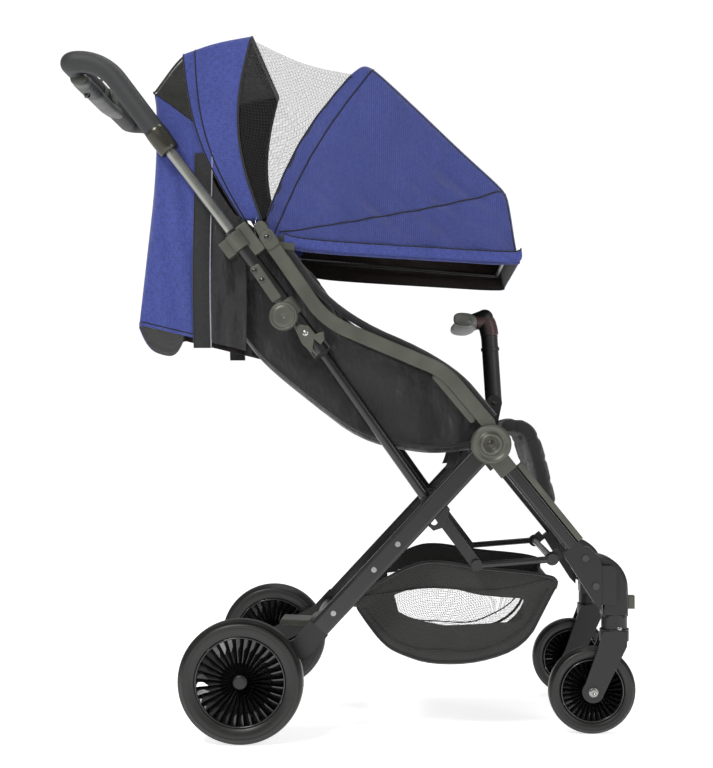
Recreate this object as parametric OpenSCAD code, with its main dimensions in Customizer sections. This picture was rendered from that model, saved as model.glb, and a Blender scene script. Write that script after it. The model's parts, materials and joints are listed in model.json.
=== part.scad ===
// Compact folding baby stroller: side frames, swivelling front wheels, sling seat,
// hooded canopy, mesh basket, telescoping push handle and a front bumper bar.
// +X is the front, +Y the child's left, +Z up. The origin is on the floor under the middle.

/* [Wheels] */
// Diameter of a rear wheel
rear_wheel_d = 178; // [150:1:215]
// Diameter of a front wheel
front_wheel_d = 128; // [106:1:154]
// Width of a rear tyre
rear_tyre_w = 34; // [26:1:36]
// Width of a front tyre
front_tyre_w = 28; // [20:1:32]
// Number of blades in each wheel's disc
blade_count = 32; // [12:1:36]
// Distance from the swivel axis back to the front axle
caster_trail = 33; // [24:1:40]

/* [Chassis] */
// Half the distance between the two front legs
leg_y = 170; // [142:1:204]
// Forward position of the hub pivots
hub_x = 199; // [180:1:220]
// Height of the hub pivots
hub_z = 424; // [400:1:460]
// Forward position of the swivel axes
caster_x = 382; // [360:1:400]
// Forward position of the rear axle
rear_axle_x = -155.5; // [-200:1:-130]
// Depth of a front leg tube, seen from the side
front_leg_w = 20; // [16:1:24]
// Depth of a rear leg tube, seen from the side
rear_leg_w = 29; // [20:1:32]
// Wall of the leg tubes
tube_wall = 1.6; // [1:0.1:3]

/* [Upper frame] */
// Depth of a side rail, seen from the side
rail_w = 20; // [14:1:24]
// Outer diameter of the push tubes
push_tube_d = 22; // [20:1:24]
// Diameter of the sliding handle tube
handle_tube_d = 16; // [12:1:17]
// Diameter of the foam grip
grip_d = 30; // [24:1:34]
// Diameter of the struts
strut_d = 16; // [10:1:17]

/* [Seat and bumper] */
// Width of the seat pad
seat_w = 300; // [250:1:302]
// Thickness of the backrest pad
back_pad_t = 36; // [24:1:40]
// Diameter of the bumper post
post_d = 26; // [20:1:31]
// Length of the bumper bar across the seat
bumper_len = 240; // [200:1:288]

/* [Canopy and basket] */
// Thickness of the fabric shells
fabric_t = 3; // [2:0.5:4]
// Gap from the canopy's side to the side rail
canopy_gap = 2.5; // [2:0.5:5]
// Diameter of the canopy hoops
hoop_d = 7; // [5:0.5:8]
// Diameter of the basket's wire hoop
wire_d = 10; // [6:1:11]

/* [Hidden] */

$fn = 48;
run_gap = 0.05;      // radial clearance of a pin that turns in its bore
gap = 0.3;           // clearance between two bodies that pass each other
big = 1000;          // longer than anything that it cuts

black = [0.09, 0.09, 0.10];
rail_grey = [0.38, 0.38, 0.36];
blue = [0.24, 0.30, 0.60];
fabric_black = [0.16, 0.16, 0.17];
chrome = [0.80, 0.80, 0.82];
mesh_grey = [0.75, 0.75, 0.78];

// Layers across the width, each measured from the middle plane
leg_t = 22;                              // width of a front leg
leg_in = leg_y - leg_t / 2;
leg_out = leg_y + leg_t / 2;
plate_t = 3;
rear_leg_t = 17;
rear_in = leg_out + 2.5;                 // inner face of a rear leg
rear_out = rear_in + rear_leg_t;
rail_eye_in = rear_out + 0.5;
rail_out = rail_eye_in + 9;
rail_in = rail_out - 18;
cap_out = rail_out + 5;
push_y = rail_out - 5;                   // push tube axis
strut_y = rear_in - plate_t - 0.5 - strut_d / 2;
link_out = strut_y - strut_d / 2 - 0.5;
link_t = 4.5;
hoop_y = link_out + 1.5 + wire_d / 2;
rear_wheel_y = rear_out + 2.5 + rear_tyre_w / 2;
front_wheel_y = leg_in - 10.5;

// Points seen from the side, as [x, z]
hub = [hub_x, hub_z];
hub_r = 29;
pin_r = 6;
rear_axle = [rear_axle_x, rear_wheel_d / 2];
front_axle = [caster_x - caster_trail, front_wheel_d / 2];
caster_z = front_wheel_d + 26;           // bottom of the caster housing
leg_foot = [caster_x - 63.5, caster_z + 122.8];
foot_top = rear_axle + [109.3, 71.5];    // lower end of the rear leg tube
foot_knee = rear_axle + [84.8, 45];
strut_low = hub + [-84, -90];            // pivot of a strut on the rear leg
strut_top = hub + [-245.5, 137];         // pivot of a strut on its slider
basket_c = hub + [91, -167];             // pivot of the basket hoop
basket_k = hub + [-19, -176];            // lower end of the basket links
rail_pts = [hub + [-4, 30], hub + [-66, 103.6], hub + [-236, 175.6], hub + [-319.7, 295]];
rail_bend_r = [90, 115];                 // radii of a rail's two bends
push_dir = -53;                          // slope of the push tubes
push_low = strut_top + 8 * [cos(push_dir), sin(push_dir)];
push_top = strut_top - 208 * [cos(push_dir), sin(push_dir)];
canopy_p = hub + [-327.5, 309];          // canopy pivot
bight = hub + [-185, 38];                // backrest hinge
bight_r = 17;
knee = hub + [27, 26];                   // leg rest hinge
knee_r = 9;
bumper_pivot = hub + [14, 62];
foot_bar = leg_foot + [21.5, -14.8];
foot_bar_d = 16;

// Helpers
function len2(a, b) = norm(b - a);
function dir2(a, b) = atan2(b[1] - a[1], b[0] - a[0]);
function along(a, b, d) = a + d * (b - a) / norm(b - a);
// Points of the arc of radius r that rounds the corner b between a and c, in n steps
function rounded(a, b, c, r, n) =
    let (u = (a - b) / norm(a - b), v = (c - b) / norm(c - b), half = acos(u * v) / 2,
        t = r / tan(half), o = b + (u + v) / norm(u + v) * r / sin(half),
        from = dir2(o, b + u * t), turn = dir2(o, b + v * t) - from,
        sweep = turn > 180 ? turn - 360 : turn < -180 ? turn + 360 : turn)
    [for (i = [0 : n]) o + r * [cos(from + sweep * i / n), sin(from + sweep * i / n)]];

// Draws a side outline as a plate from y = y0 to y = y1
module side_plate(y0, y1) {
    translate([0, max(y0, y1), 0]) rotate([90, 0, 0]) linear_extrude(abs(y1 - y0)) children();
}

// Bar of width w along the points, with a round a hair wider than the bar at each end and bend
module bar2d(points, w) {
    for (i = [0 : len(points) - 2])
        translate(points[i]) rotate(dir2(points[i], points[i + 1]))
            translate([0, -w / 2]) square([len2(points[i], points[i + 1]), w]);
    for (p = points) translate(p) circle(d = w + 2 * run_gap);
}

// Cylinder across the stroller at a side point
module cross_rod(p, d, y0, y1) {
    translate([p[0], max(y0, y1), p[1]]) rotate([90, 0, 0]) cylinder(d = d, h = abs(y1 - y0));
}

// Round rod through the 3-D points, with a ball at each bend
module rod_path(points, d) {
    for (i = [0 : len(points) - 2]) {
        v = points[i + 1] - points[i];
        translate(points[i])
            rotate([0, acos(v[2] / norm(v)), atan2(v[1], v[0])]) cylinder(d = d, h = norm(v));
    }
    for (i = [1 : 1 : len(points) - 2]) translate(points[i]) sphere(d = d + 0.6);
}

module round_rect(w, t, r) {
    square([w - 2 * r, t], center = true);
    square([w, t - 2 * r], center = true);
    for (x = [-1, 1], y = [-1, 1]) translate([x * (w / 2 - r), y * (t / 2 - r)]) circle(r = r);
}

// Hollow leg tube between two side points, with its flat sides facing outward
module leg_tube(a, b, y, w, t, wall) {
    translate([a[0], y, a[1]]) rotate([0, 90 - dir2(a, b), 0])
        linear_extrude(len2(a, b)) difference() {
            round_rect(w, t, 5);
            round_rect(w - 2 * wall, t - 2 * wall, 5 - wall);
        }
}

module at_side(s) { if (s > 0) children(); else mirror([0, 1, 0]) children(); }
module both() { children(); mirror([0, 1, 0]) children(); }

// ---- Chassis ----
socket_len = 20;
module front_leg(s) color(black) at_side(s)
    leg_tube(along(hub, leg_foot, hub_r + socket_len), leg_foot, leg_y, front_leg_w, leg_t, tube_wall);

trim_w = 8.5;
// Grey strip along the rear of each front leg
module leg_trims() color(rail_grey) both() {
    a = along(hub, leg_foot, hub_r + socket_len);
    translate([a[0], leg_y, a[1]]) rotate([0, 90 - dir2(hub, leg_foot), 0])
        translate([-front_leg_w / 2 - trim_w, -leg_t / 2, 0])
            cube([trim_w, leg_t, len2(a, leg_foot)]);
}

module hub_plates() color(rail_grey) both() difference() {
    side_plate(leg_in, leg_out + 2.2) {
        translate(hub) circle(r = hub_r - 2);
        translate(hub) rotate(dir2(hub, leg_foot)) translate([0, -front_leg_w / 2 - trim_w])
            square([hub_r + socket_len, front_leg_w + trim_w]);
    }
    cross_rod(hub, 2 * (pin_r + run_gap), leg_in - 1, leg_out + 4);
}

// Casting that joins a front leg to its caster housing
module bracket_outline() {
    u = [cos(dir2(hub, leg_foot)), sin(dir2(hub, leg_foot))];
    n = [-u[1], u[0]];
    polygon([leg_foot + n * front_leg_w / 2, leg_foot + [36.5, -14.3], leg_foot + [41.5, -28],
        leg_foot + [41.5, -74], leg_foot + [40.5, -93], leg_foot + [32, -84],
        leg_foot - n * (front_leg_w / 2 + trim_w)]);
}
module front_bracket(s) color(black) at_side(s) difference() {
    side_plate(leg_in, leg_out) bracket_outline();
    cross_rod(foot_bar, foot_bar_d, leg_in - 1, leg_out - 4);
}

housing_r = 19;
housing_h = 106;
stem_r = 5;
stem_h = 56;
module caster_housing(s) color(black) at_side(s) difference() {
    union() {
        translate([caster_x, front_wheel_y, caster_z]) cylinder(r = housing_r, h = housing_h);
        translate([leg_foot[0] + 41.5, front_wheel_y, caster_z + 38])
            cube([caster_x - leg_foot[0] - 41.5, leg_out - 3 - front_wheel_y, 56]);
    }
    translate([caster_x - housing_r, -big / 2, caster_z + housing_h]) rotate([0, 44, 0])
        cube([100, big, 100]);
    translate([caster_x, front_wheel_y, caster_z - 1]) cylinder(r = stem_r + run_gap, h = stem_h + 2);
}

module footrest_bar() color(black) cross_rod(foot_bar, foot_bar_d - 2 * run_gap, -leg_out + 4.5, leg_out - 4.5);

module footrest_caps() color(chrome) both() difference() {
    cross_rod(foot_bar, foot_bar_d + 8, leg_in - 12, leg_in);
    cross_rod(foot_bar, foot_bar_d, leg_in - 13, leg_in + 1);
}

basket_half = leg_in - 3;
basket_top = [hub + [-170, -205], hub + [-113, -174], hub + [-75, -169], hub + [-15, -180],
    hub + [60, -184], basket_c + [0, -wire_d / 2 - gap]];
basket_low = [hub + [100, -216], hub + [82, -244], hub + [54, -299], hub + [-13, -324],
    hub + [-85, -326], hub + [-129, -312], hub + [-155, -299], hub + [-183, -261],
    hub + [-199, -240]];
module basket() color(mesh_grey) difference() {
    side_plate(-basket_half, basket_half) polygon(concat(basket_top, basket_low));
    side_plate(-basket_half + fabric_t, basket_half - fabric_t) {
        offset(delta = -fabric_t) polygon(concat(basket_top, basket_low));
        offset(delta = -fabric_t) polygon(concat([for (p = basket_top) p + [0, 40]],
            [for (i = [len(basket_top) - 1 : -1 : 0]) basket_top[i] + [0, -20]]));
    }
}

hoop_eye = wire_d / 2 + 1;               // half the width of the hoop's eyes
clip_w = hoop_y - hoop_eye - gap - leg_in;
// Blocks behind the front legs that carry the basket hoop
module basket_clips() color(black) both() difference() {
    side_plate(leg_in, leg_in + clip_w) difference() {
        union() {
            translate(basket_c) circle(r = wire_d / 2 + 5);
            u = dir2(hub, leg_foot);
            d = hub + [cos(u), sin(u)] * ((basket_c - hub) * [cos(u), sin(u)]);
            off = front_leg_w / 2 + trim_w;
            translate(d) rotate(u) translate([-8, -len2(d, basket_c)]) square([16, len2(d, basket_c) - off]);
        }
        bracket_outline();
    }
    cross_rod(basket_c, wire_d + 2 * run_gap, leg_in - 1, leg_out);
}

bolt_head_r = 5;
module front_bolts() color(chrome) both() {
    cross_rod(leg_foot + [18, -17.8], 2 * bolt_head_r, leg_out, leg_out + 2);
    cross_rod(leg_foot + [33, -58], 2 * bolt_head_r, leg_out, leg_out + 2);
}

// ---- Front wheels ----
fork_arm_t = 5;
fork_in = front_tyre_w / 2 + 2.5;
axle_r = 4;
module fork(s) color(black) at_side(s) difference() {
    union() {
        translate([caster_x, front_wheel_y, caster_z - 18]) cylinder(r = fork_in + fork_arm_t, h = 18 - gap);
        translate([caster_x, front_wheel_y, caster_z - 10]) cylinder(r = stem_r, h = stem_h + 8);
        for (k = [-1, 1]) side_plate(front_wheel_y + k * fork_in, front_wheel_y + k * (fork_in + fork_arm_t)) {
            translate(front_axle) circle(r = 16);
            polygon([[caster_x - 17, caster_z - 2], [caster_x + 17, caster_z - 2],
                [caster_x + 16, caster_z - 24], front_axle + [13, -9], front_axle + [-12, 10]]);
        }
    }
    cross_rod(front_axle, 2 * axle_r + 2 * run_gap, front_wheel_y - 40, front_wheel_y + 40);
}

module tyre(r, rim_r, w) {
    c = w * 0.28;
    rotate([90, 0, 0]) rotate_extrude($fn = 96) {
        translate([rim_r, -w / 2 + c]) square([r - rim_r - c, w - 2 * c]);
        translate([rim_r, -w * 0.42]) square([r - rim_r - c, w * 0.84]);
        translate([r - c, -w / 2 + c]) square([c, w - 2 * c]);
        for (k = [-1, 1]) translate([r - c, k * (w / 2 - c)]) circle(r = c);
        translate([rim_r + 3, -w / 2]) square([r - rim_r - 3 - c, w]);
    }
}
module rim(r, w, boss_r, bore) rotate([90, 0, 0]) difference() {
    union() {
        difference() {
            cylinder(r = r, h = w * 0.8, center = true, $fn = 96);
            cylinder(r = r - 4, h = w, center = true, $fn = 96);
        }
        cylinder(r = boss_r, h = w, center = true);
        for (i = [0 : blade_count - 1]) rotate(i * 360 / blade_count)
            translate([boss_r - 2, 0, 0]) rotate([32, 0, 0])
                translate([0, -0.9, -w * 0.3]) cube([r - boss_r, 1.8, w * 0.6]);
    }
    cylinder(r = bore + run_gap, h = w + 2, center = true);
}
rim_part = 0.72;
front_r = front_wheel_d / 2;
rear_r = rear_wheel_d / 2;
module front_tyre(s) color(black) at_side(s)
    translate([front_axle[0], front_wheel_y, front_axle[1]]) tyre(front_r, front_r * rim_part, front_tyre_w);
module front_rim(s) color(rail_grey) at_side(s)
    translate([front_axle[0], front_wheel_y, front_axle[1]]) rim(front_r * rim_part, front_tyre_w, 10, axle_r);
module front_axle_bolt(s) color(chrome) at_side(s) {
    cross_rod(front_axle, 2 * axle_r, front_wheel_y - fork_in - fork_arm_t, front_wheel_y + fork_in + fork_arm_t);
    for (k = [-1, 1]) cross_rod(front_axle, 14, front_wheel_y + k * (fork_in + fork_arm_t),
        front_wheel_y + k * (fork_in + fork_arm_t + 3));
}
module swivel_lock(s) color(rail_grey) at_side(s)
    translate([caster_x + housing_r + gap, front_wheel_y - 7, caster_z + 29]) cube([10, 14, 19]);

// ---- Rear frame ----
rear_eye_r = 27;
module rear_leg(s) color(black) at_side(s) {
    leg_tube(along(hub, foot_top, rear_eye_r - 1), foot_top, (rear_in + rear_out) / 2, rear_leg_w, rear_leg_t, tube_wall);
    difference() {
        side_plate(rear_in, rear_out) translate(hub) circle(r = rear_eye_r);
        cross_rod(hub, 2 * (pin_r + run_gap), rear_in - 1, rear_out + 1);
    }
}
rear_axle_r = 5;
module rear_feet() color(black) both() difference() {
    side_plate(rear_in, rear_out) {
        u = dir2(hub, foot_top);
        translate(foot_top) rotate(u) translate([0, -16]) square([34, 32]);
        bar2d([foot_knee, rear_axle], 30);
        translate(rear_axle) circle(r = 19);
    }
    cross_rod(rear_axle, 2 * rear_axle_r, rear_in + 3, rear_out + 1);
}
bar_p = along(foot_top, hub, -17);
crossbar_d = 20;
module rear_crossbar() color(black) cross_rod(bar_p, crossbar_d, -rear_in, rear_in);
module rear_axles() color(chrome) both() {
    cross_rod(rear_axle, 2 * rear_axle_r, rear_in + 3, rear_wheel_y + rear_tyre_w / 2 - 3);
    cross_rod(rear_axle, 16, rear_wheel_y + rear_tyre_w / 2 - 3, rear_wheel_y + rear_tyre_w / 2 - 0.5);
}
strut_pin_r = 4;
module strut_brackets() color(black) both() {
    side_plate(rear_in - plate_t, rear_in) difference() {
        polygon([strut_low + [-16, 12], strut_low + [10, 18], strut_low + [26, -4],
            strut_low + [18, -30], strut_low + [2, -35], strut_low + [-18, -16]]);
        translate(strut_low + [3, -22]) circle(r = 5);
    }
    cross_rod(strut_low, 2 * strut_pin_r, link_out - link_t - 2, rear_in - plate_t);
    cross_rod(strut_low, 14, link_out - link_t - 4, link_out - link_t - gap);
}
module rear_rivets() color(chrome) both() {
    for (d = [195, 245, 330]) cross_rod(along(hub, foot_top, d), 8, rear_out, rear_out + 1.5);
}
module rear_tyre(s) color(black) at_side(s)
    translate([rear_axle[0], rear_wheel_y, rear_axle[1]]) tyre(rear_r, rear_r * rim_part, rear_tyre_w);
module rear_rim(s) color(rail_grey) at_side(s)
    translate([rear_axle[0], rear_wheel_y, rear_axle[1]]) rim(rear_r * rim_part, rear_tyre_w - 6.5, 13, rear_axle_r);

pedal_y = -60;
module brake_pedal() color(rail_grey) difference() {
    union() {
        cross_rod(bar_p, crossbar_d + 10, pedal_y - 30, pedal_y + 30);
        side_plate(pedal_y - 28, pedal_y + 28) bar2d([bar_p + [-8, 4], bar_p + [-52, 6]], 9);
    }
    cross_rod(bar_p, crossbar_d + 2 * run_gap, pedal_y - 31, pedal_y + 31);
}

// ---- Struts and basket hoop ----
module struts() color(black) both() difference() {
    union() {
        rod_path([[strut_low[0], strut_y, strut_low[1]], [strut_top[0], strut_y, strut_top[1]]], strut_d);
        for (p = [strut_low, strut_top]) cross_rod(p, 24, strut_y - strut_d / 2, strut_y + strut_d / 2);
    }
    cross_rod(strut_low, 2 * (strut_pin_r + run_gap), strut_y - 20, strut_y + 20);
    cross_rod(strut_top, 2 * strut_pin_r, strut_y - 20, strut_y + 20);
}
module basket_links() color(black) both() difference() {
    side_plate(link_out - link_t, link_out) bar2d([strut_low, basket_k], 16);
    cross_rod(strut_low, 2 * (strut_pin_r + run_gap), link_out - 20, link_out + 5);
}
module basket_hoop() color(black) {
    cross_rod(basket_c, wire_d, -hoop_y, hoop_y);
    both() {
        rod_path([[basket_c[0], hoop_y, basket_c[1]], [basket_k[0], hoop_y, basket_k[1]]], wire_d);
        for (p = [basket_c, basket_k]) cross_rod(p, wire_d + 6, hoop_y - hoop_eye, hoop_y + hoop_eye);
    }
}

// ---- Upper frame ----
bend_steps = 6;
rail_line = concat([rail_pts[0]],
    rounded(rail_pts[0], rail_pts[1], rail_pts[2], rail_bend_r[0], bend_steps),
    rounded(rail_pts[1], rail_pts[2], rail_pts[3], rail_bend_r[1], bend_steps), [rail_pts[3]]);
module side_rails() color(rail_grey) both() difference() {
    union() {
        difference() {
            side_plate(rail_in, rail_out) {
                bar2d(rail_line, rail_w);
                bar2d([rail_pts[3], canopy_p], rail_w - 3);
            }
            side_plate(rail_in - 1, rail_eye_in) translate(hub) circle(r = rear_eye_r + 1);
        }
        side_plate(rail_eye_in, rail_out) {
            translate(hub) circle(r = hub_r);
            bar2d([hub, rail_pts[0]], rail_w);
        }
        side_plate(rail_in + 4, rail_out - 4)
            bar2d([hub + [-79, 96], hub + [-27.4, 34.8]], 9);
    }
    cross_rod(hub, 2 * (pin_r + run_gap), rail_in - 2, rail_out + 1);
    side_plate(rail_in - 1, rail_eye_in) translate(hub) circle(r = rear_eye_r + 1);
}
module hub_caps() color(rail_grey) both() {
    cross_rod(hub, 2 * hub_r - 3, rail_out, rail_out + 3);
    cross_rod(hub, 38, rail_out + 3, cap_out - 1);
    cross_rod(hub, 26, cap_out - 1, cap_out);
}
seat_tube_d = 22;
module seat_cross_tube() color(black) {
    cross_rod(hub, seat_tube_d, -leg_in + gap, leg_in - gap);
    both() cross_rod(hub, 2 * pin_r, leg_in - gap - 1, rail_out);
}
module on_push(p, y) {
    translate([p[0], y, p[1]]) rotate([0, 90 - push_dir, 0]) children();
}
push_bore = handle_tube_d + 2 * gap;
module push_tubes() color(black) both() on_push(push_top, push_y) difference() {
    cylinder(d = push_tube_d, h = len2(push_top, push_low));
    translate([0, 0, -1]) cylinder(d = push_bore, h = len2(push_top, push_low) - 12);
}
// Distance from a point to the upper length of the side rail
function rail_gap(p) = let (a = rail_pts[2], u = (rail_pts[3] - a) / norm(rail_pts[3] - a), v = p - a)
    abs(u[0] * v[1] - u[1] * v[0]) - rail_w / 2;
block_len = 26;
knob_d = 41;
block_at = [18, 139];                    // places of the blocks, from the top of a push tube
knob_c = hub + [-294, 181];              // centre of the release knob
// Blocks that join each push tube to its rail, the bolts there and the canopy's pivot pins.
// The lower block is open on its inner side, where the strut slider passes.
module tube_blocks() color(rail_grey) both() {
    for (i = [0, 1]) on_push(along(push_top, push_low, block_at[i]), push_y) difference() {
        union() {
            cylinder(d = push_tube_d + 8, h = block_len, center = true);
            translate([0, -(push_tube_d + 8) / 2, -block_len / 2])
                cube([rail_gap(along(push_top, push_low, block_at[i])) - 0.5, push_tube_d + 6, block_len]);
        }
        cylinder(d = push_tube_d + 2 * run_gap, h = block_len + 4, center = true);
        translate([12, rail_out - push_y, -15]) cube([40, 30, 30]);
        if (i == 1) translate([-40, -40 + gap, -20]) cube([80, 40, 40]);
    }
    cross_rod(rail_pts[3], rail_w - 4, rail_out, rail_out + 3);
    cross_rod(strut_top - 22 * [cos(push_dir), sin(push_dir)], 10, push_y + push_tube_d / 2,
        push_y + push_tube_d / 2 + 2);
    cross_rod(canopy_p, 2 * axle_r, visor_hoop_y - hoop_d / 2, rail_in);
    cross_rod(knob_c, knob_d, push_y + push_tube_d / 2 + gap, push_y + push_tube_d / 2 + 7);
    cross_rod(knob_c, knob_d - 10, push_y + push_tube_d / 2 + 7, push_y + push_tube_d / 2 + 8.5);
}
slider_h = 16;
// Sliders on the push tubes that carry the tops of the struts
module strut_sliders() color(rail_grey) both()
    on_push(along(push_top, push_low, len2(push_top, strut_top)), push_y) difference() {
        translate([-14, strut_y + strut_d / 2 + gap - push_y, -slider_h / 2])
            cube([28, push_y - strut_y - strut_d / 2 - gap, slider_h]);
        cylinder(d = push_tube_d + 2 * gap, h = slider_h + 20, center = true);
    }

// ---- Handle ----
bend_r = 66;                             // bend at the top of each side of the handle
corner_r = 16;                           // bend into the handle's crossbar
handle_z = hub_z + 545;
arm_len = (handle_z - bend_r * (1 - sin(90 + push_dir)) - push_top[1]) / -sin(push_dir);
arm_top = push_top - arm_len * [cos(push_dir), sin(push_dir)];
bend_c = [arm_top[0] - bend_r * cos(90 + push_dir), handle_z - bend_r];
handle_top = [bend_c[0] - corner_r, handle_z];
insert_len = 40;                         // length of handle held in each push tube at rest
grip_start = 112;                        // distance from the grip's lower end to its bend

module ring2d(d_out, d_in) difference() {
    circle(d = d_out);
    if (d_in > 0) circle(d = d_in);
}
// One side of the handle's run: an arm, a bend up and over, and a corner into the crossbar.
// Each length stops short of the next by the joint value.
module handle_run(d_out, d_in, arm, bar_end, joint = 0) {
    on_push(arm_top, push_y) translate([0, 0, joint]) linear_extrude(arm - joint) ring2d(d_out, d_in);
    translate([bend_c[0], push_y, bend_c[1]]) rotate([90, 0, 0]) rotate([0, 0, 90 + push_dir])
        rotate_extrude(angle = -push_dir) translate([bend_r, 0]) ring2d(d_out, d_in);
    translate([bend_c[0] - joint, push_y - corner_r, handle_z]) rotate([0, 0, 90])
        rotate_extrude(angle = 90) translate([corner_r, 0]) ring2d(d_out, d_in);
    translate([handle_top[0], push_y - corner_r - joint, handle_z]) rotate([90, 0, 0])
        linear_extrude(push_y - corner_r - joint - bar_end) ring2d(d_out, d_in);
}
module handle_tube() color(chrome) both()
    handle_run(handle_tube_d, 0, arm_len + insert_len, run_gap, run_gap);
housing_half = 46;
// Foam sleeve in butted lengths
module handle_grip() color(black) both()
    handle_run(grip_d, handle_tube_d + 4 * run_gap, grip_start, housing_half, run_gap);
module fold_housing() color(rail_grey) difference() {
    cross_rod(handle_top, grip_d + 2, -housing_half, housing_half);
    cross_rod(handle_top, handle_tube_d + 2 * run_gap, -housing_half - 1, housing_half + 1);
    translate([handle_top[0] + 9.5, -13, handle_top[1] - 9]) cube([20, 26, 18]);
    translate([handle_top[0] - 8, -35, handle_top[1] + 9.5]) cube([16, 16, 20]);
}
module fold_button() color(chrome) translate([handle_top[0] + 14, -12.5, handle_top[1] - 8.5]) cube([6, 25, 17]);
module fold_slider() color(black) translate([handle_top[0] - 7, -34, handle_top[1] + 10]) cube([14, 10, 8]);

// ---- Bumper bar ----
post_top = hub + [7, 166];
elbow = hub + [0, 196];
bar_c = hub + [-30, 185];
module bumper_socket() color(black) {
    difference() {
        union() {
            rod_path([[hub[0] + 2, 0, hub[1] + 4], [bumper_pivot[0] - 1, 0, bumper_pivot[1] - post_d / 2 - 6]], 20);
            cross_rod(hub, seat_tube_d + 8, -14, 14);
            for (k = [-1, 1]) side_plate(k * 14, k * 18) bar2d([hub + [3, 8], bumper_pivot], 24);
        }
        cross_rod(hub, seat_tube_d + 2 * run_gap, -20, 20);
        cross_rod(bumper_pivot, 2 * (axle_r + run_gap), -30, 30);
    }
}
module bumper_post() color(black) difference() {
    union() {
        cross_rod(bumper_pivot, post_d - 1, -13.5, 13.5);
        rod_path([[bumper_pivot[0], 0, bumper_pivot[1]], [post_top[0], 0, post_top[1]],
            [elbow[0], 0, elbow[1]], [bar_c[0] + 9, 0, bar_c[1] + 3]], post_d);
        translate([post_top[0] + 1.5, 0, post_top[1] - 22]) rotate([0, -4, 0]) cylinder(d = post_d + 3, h = 5);
    }
    side_plate(-20, 20) translate(bar_c) circle(d = 22);
    cross_rod(bumper_pivot, 2 * (axle_r + run_gap), -30, 30);
    for (k = [-1, 1]) translate([bumper_pivot[0] - 40, k * 33.6 - 20, bumper_pivot[1] - 20]) cube([80, 40, 33]);
}
module bumper_bar() color(black) {
    cross_rod(bar_c, 21, -bumper_len / 2 + 10, bumper_len / 2 - 10);
    for (k = [-1, 1]) translate([bar_c[0], k * (bumper_len / 2 - 10), bar_c[1]]) sphere(d = 21);
}

// ---- Soft parts ----
seat_half = seat_w / 2;
module seat_pan() color(fabric_black) difference() {
    side_plate(-seat_half, seat_half) difference() {
        polygon([hub + [-190, 14], hub + [-116, 0], hub + [-34, 2], hub + [-16, seat_tube_d / 2 + gap],
            hub + [14, seat_tube_d / 2 + gap], hub + [25, 17], hub + [12, 44], hub + [0, 46],
            hub + [-79, 40], hub + [-154, 50], hub + [-176, 46]]);
        translate(bight) circle(r = bight_r + gap);
        translate(knee) circle(r = knee_r + gap);
    }
    translate([hub[0] - 22, -20, hub[1] - 20]) cube([80, 40, 100]);
}
module backrest() color(fabric_black) {
    side_plate(-seat_half, seat_half) {
        translate(bight) circle(r = bight_r);
        bar2d([bight, bight + [-130, 116], hub + [-430, 300]], back_pad_t - 2);
    }
    for (k = [-1, 1]) side_plate(k * (seat_half - 12), k * seat_half)
        polygon([bight + [-9, 16], bight + [-128, 130], hub + [-427, 330], hub + [-399, 366], hub + [-329, 311],
            hub + [-287, 271], hub + [-226, 207], hub + [-219, 192], hub + [-189, 136], hub + [-172, 80]]);
}
rest_pts = [knee, hub + [62, 22], hub + [76, -14], hub + [93, -79], hub + [97, -92]];
module leg_rest() color(fabric_black) {
    difference() {
        side_plate(-120, 120) bar2d(rest_pts, 2 * knee_r);
        translate([hub[0] + 0, -20, hub[1] - 20]) cube([40, 40, 100]);
    }
}

canopy_out = rail_in - canopy_gap;
mid_hoop_y = canopy_out - fabric_t - gap - hoop_d / 2;
visor_hoop_y = mid_hoop_y - hoop_d - gap;
module shell(outline, ridge) {
    for (k = [-1, 1]) side_plate(k * (canopy_out - fabric_t), k * canopy_out) polygon(outline);
    side_plate(-canopy_out, canopy_out) bar2d(ridge, fabric_t);
}
function from_hub(list) = [for (p = list) hub + p];
rear_ridge = from_hub([[-342, 588.5], [-394, 580.5], [-442, 562.5], [-486, 505], [-481, 479], [-483, 380],
    [-496, 267], [-506.5, 171.5]]);
rear_front_edge = from_hub([[-421, 141], [-349, 132], [-349, 216], [-334, 309], [-327, 320], [-348, 378],
    [-356, 460], [-356, 541]]);
mid_ridge = from_hub([[-334, 586.5], [-293, 559], [-253, 545], [-200, 534.5]]);
mid_low = from_hub([[-231.5, 492.7], [-284.5, 421], [-311.7, 376.7], [-324, 326], [-347.4, 378], [-355.4, 460],
    [-355.4, 541]]);
front_ridge = from_hub([[-196, 534], [-176, 545.5], [-155, 530], [-94, 473], [-41, 422], [12, 374], [25, 353],
    [38, 276], [43.5, 263]]);
front_low = from_hub([[38, 255], [-274, 270], [-300, 284], [-320, 304], [-320.5, 328], [-308.5, 376.7], [-281, 421],
    [-228, 492.7]]);
// Hoop from the canopy's pivots up to the point p, across, and down again
module hoop(p, y) {
    rod_path([[canopy_p[0], y, canopy_p[1]], [p[0], y, p[1]], [p[0], -y, p[1]],
        [canopy_p[0], -y, canopy_p[1]]], hoop_d);
    both() cross_rod(canopy_p, 2 * axle_r + 8, y - hoop_d / 2 - 0.1, y + hoop_d / 2 + 0.1);
}
module canopy_hoop(p, y) color(black) difference() {
    hoop(p, y);
    cross_rod(canopy_p, 2 * (axle_r + run_gap), -rail_in, rail_in);
}
module mid_hoop() canopy_hoop(hub + [-200, 525], mid_hoop_y);
module visor_hoop() canopy_hoop(hub + [28, 281], visor_hoop_y);
module canopy_rear() color(blue) {
    shell(concat(rear_ridge, rear_front_edge), rear_ridge);
    both() difference() {
        cross_rod(canopy_p, 20, canopy_out, rail_in);
        cross_rod(canopy_p, 2 * (axle_r + run_gap), canopy_out - 1, rail_in + 1);
    }
}
module canopy_mid() color(mesh_grey) shell(concat(mid_ridge, mid_low), mid_ridge);
module canopy_front() color(blue) shell(concat(front_ridge, front_low), front_ridge);

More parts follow.
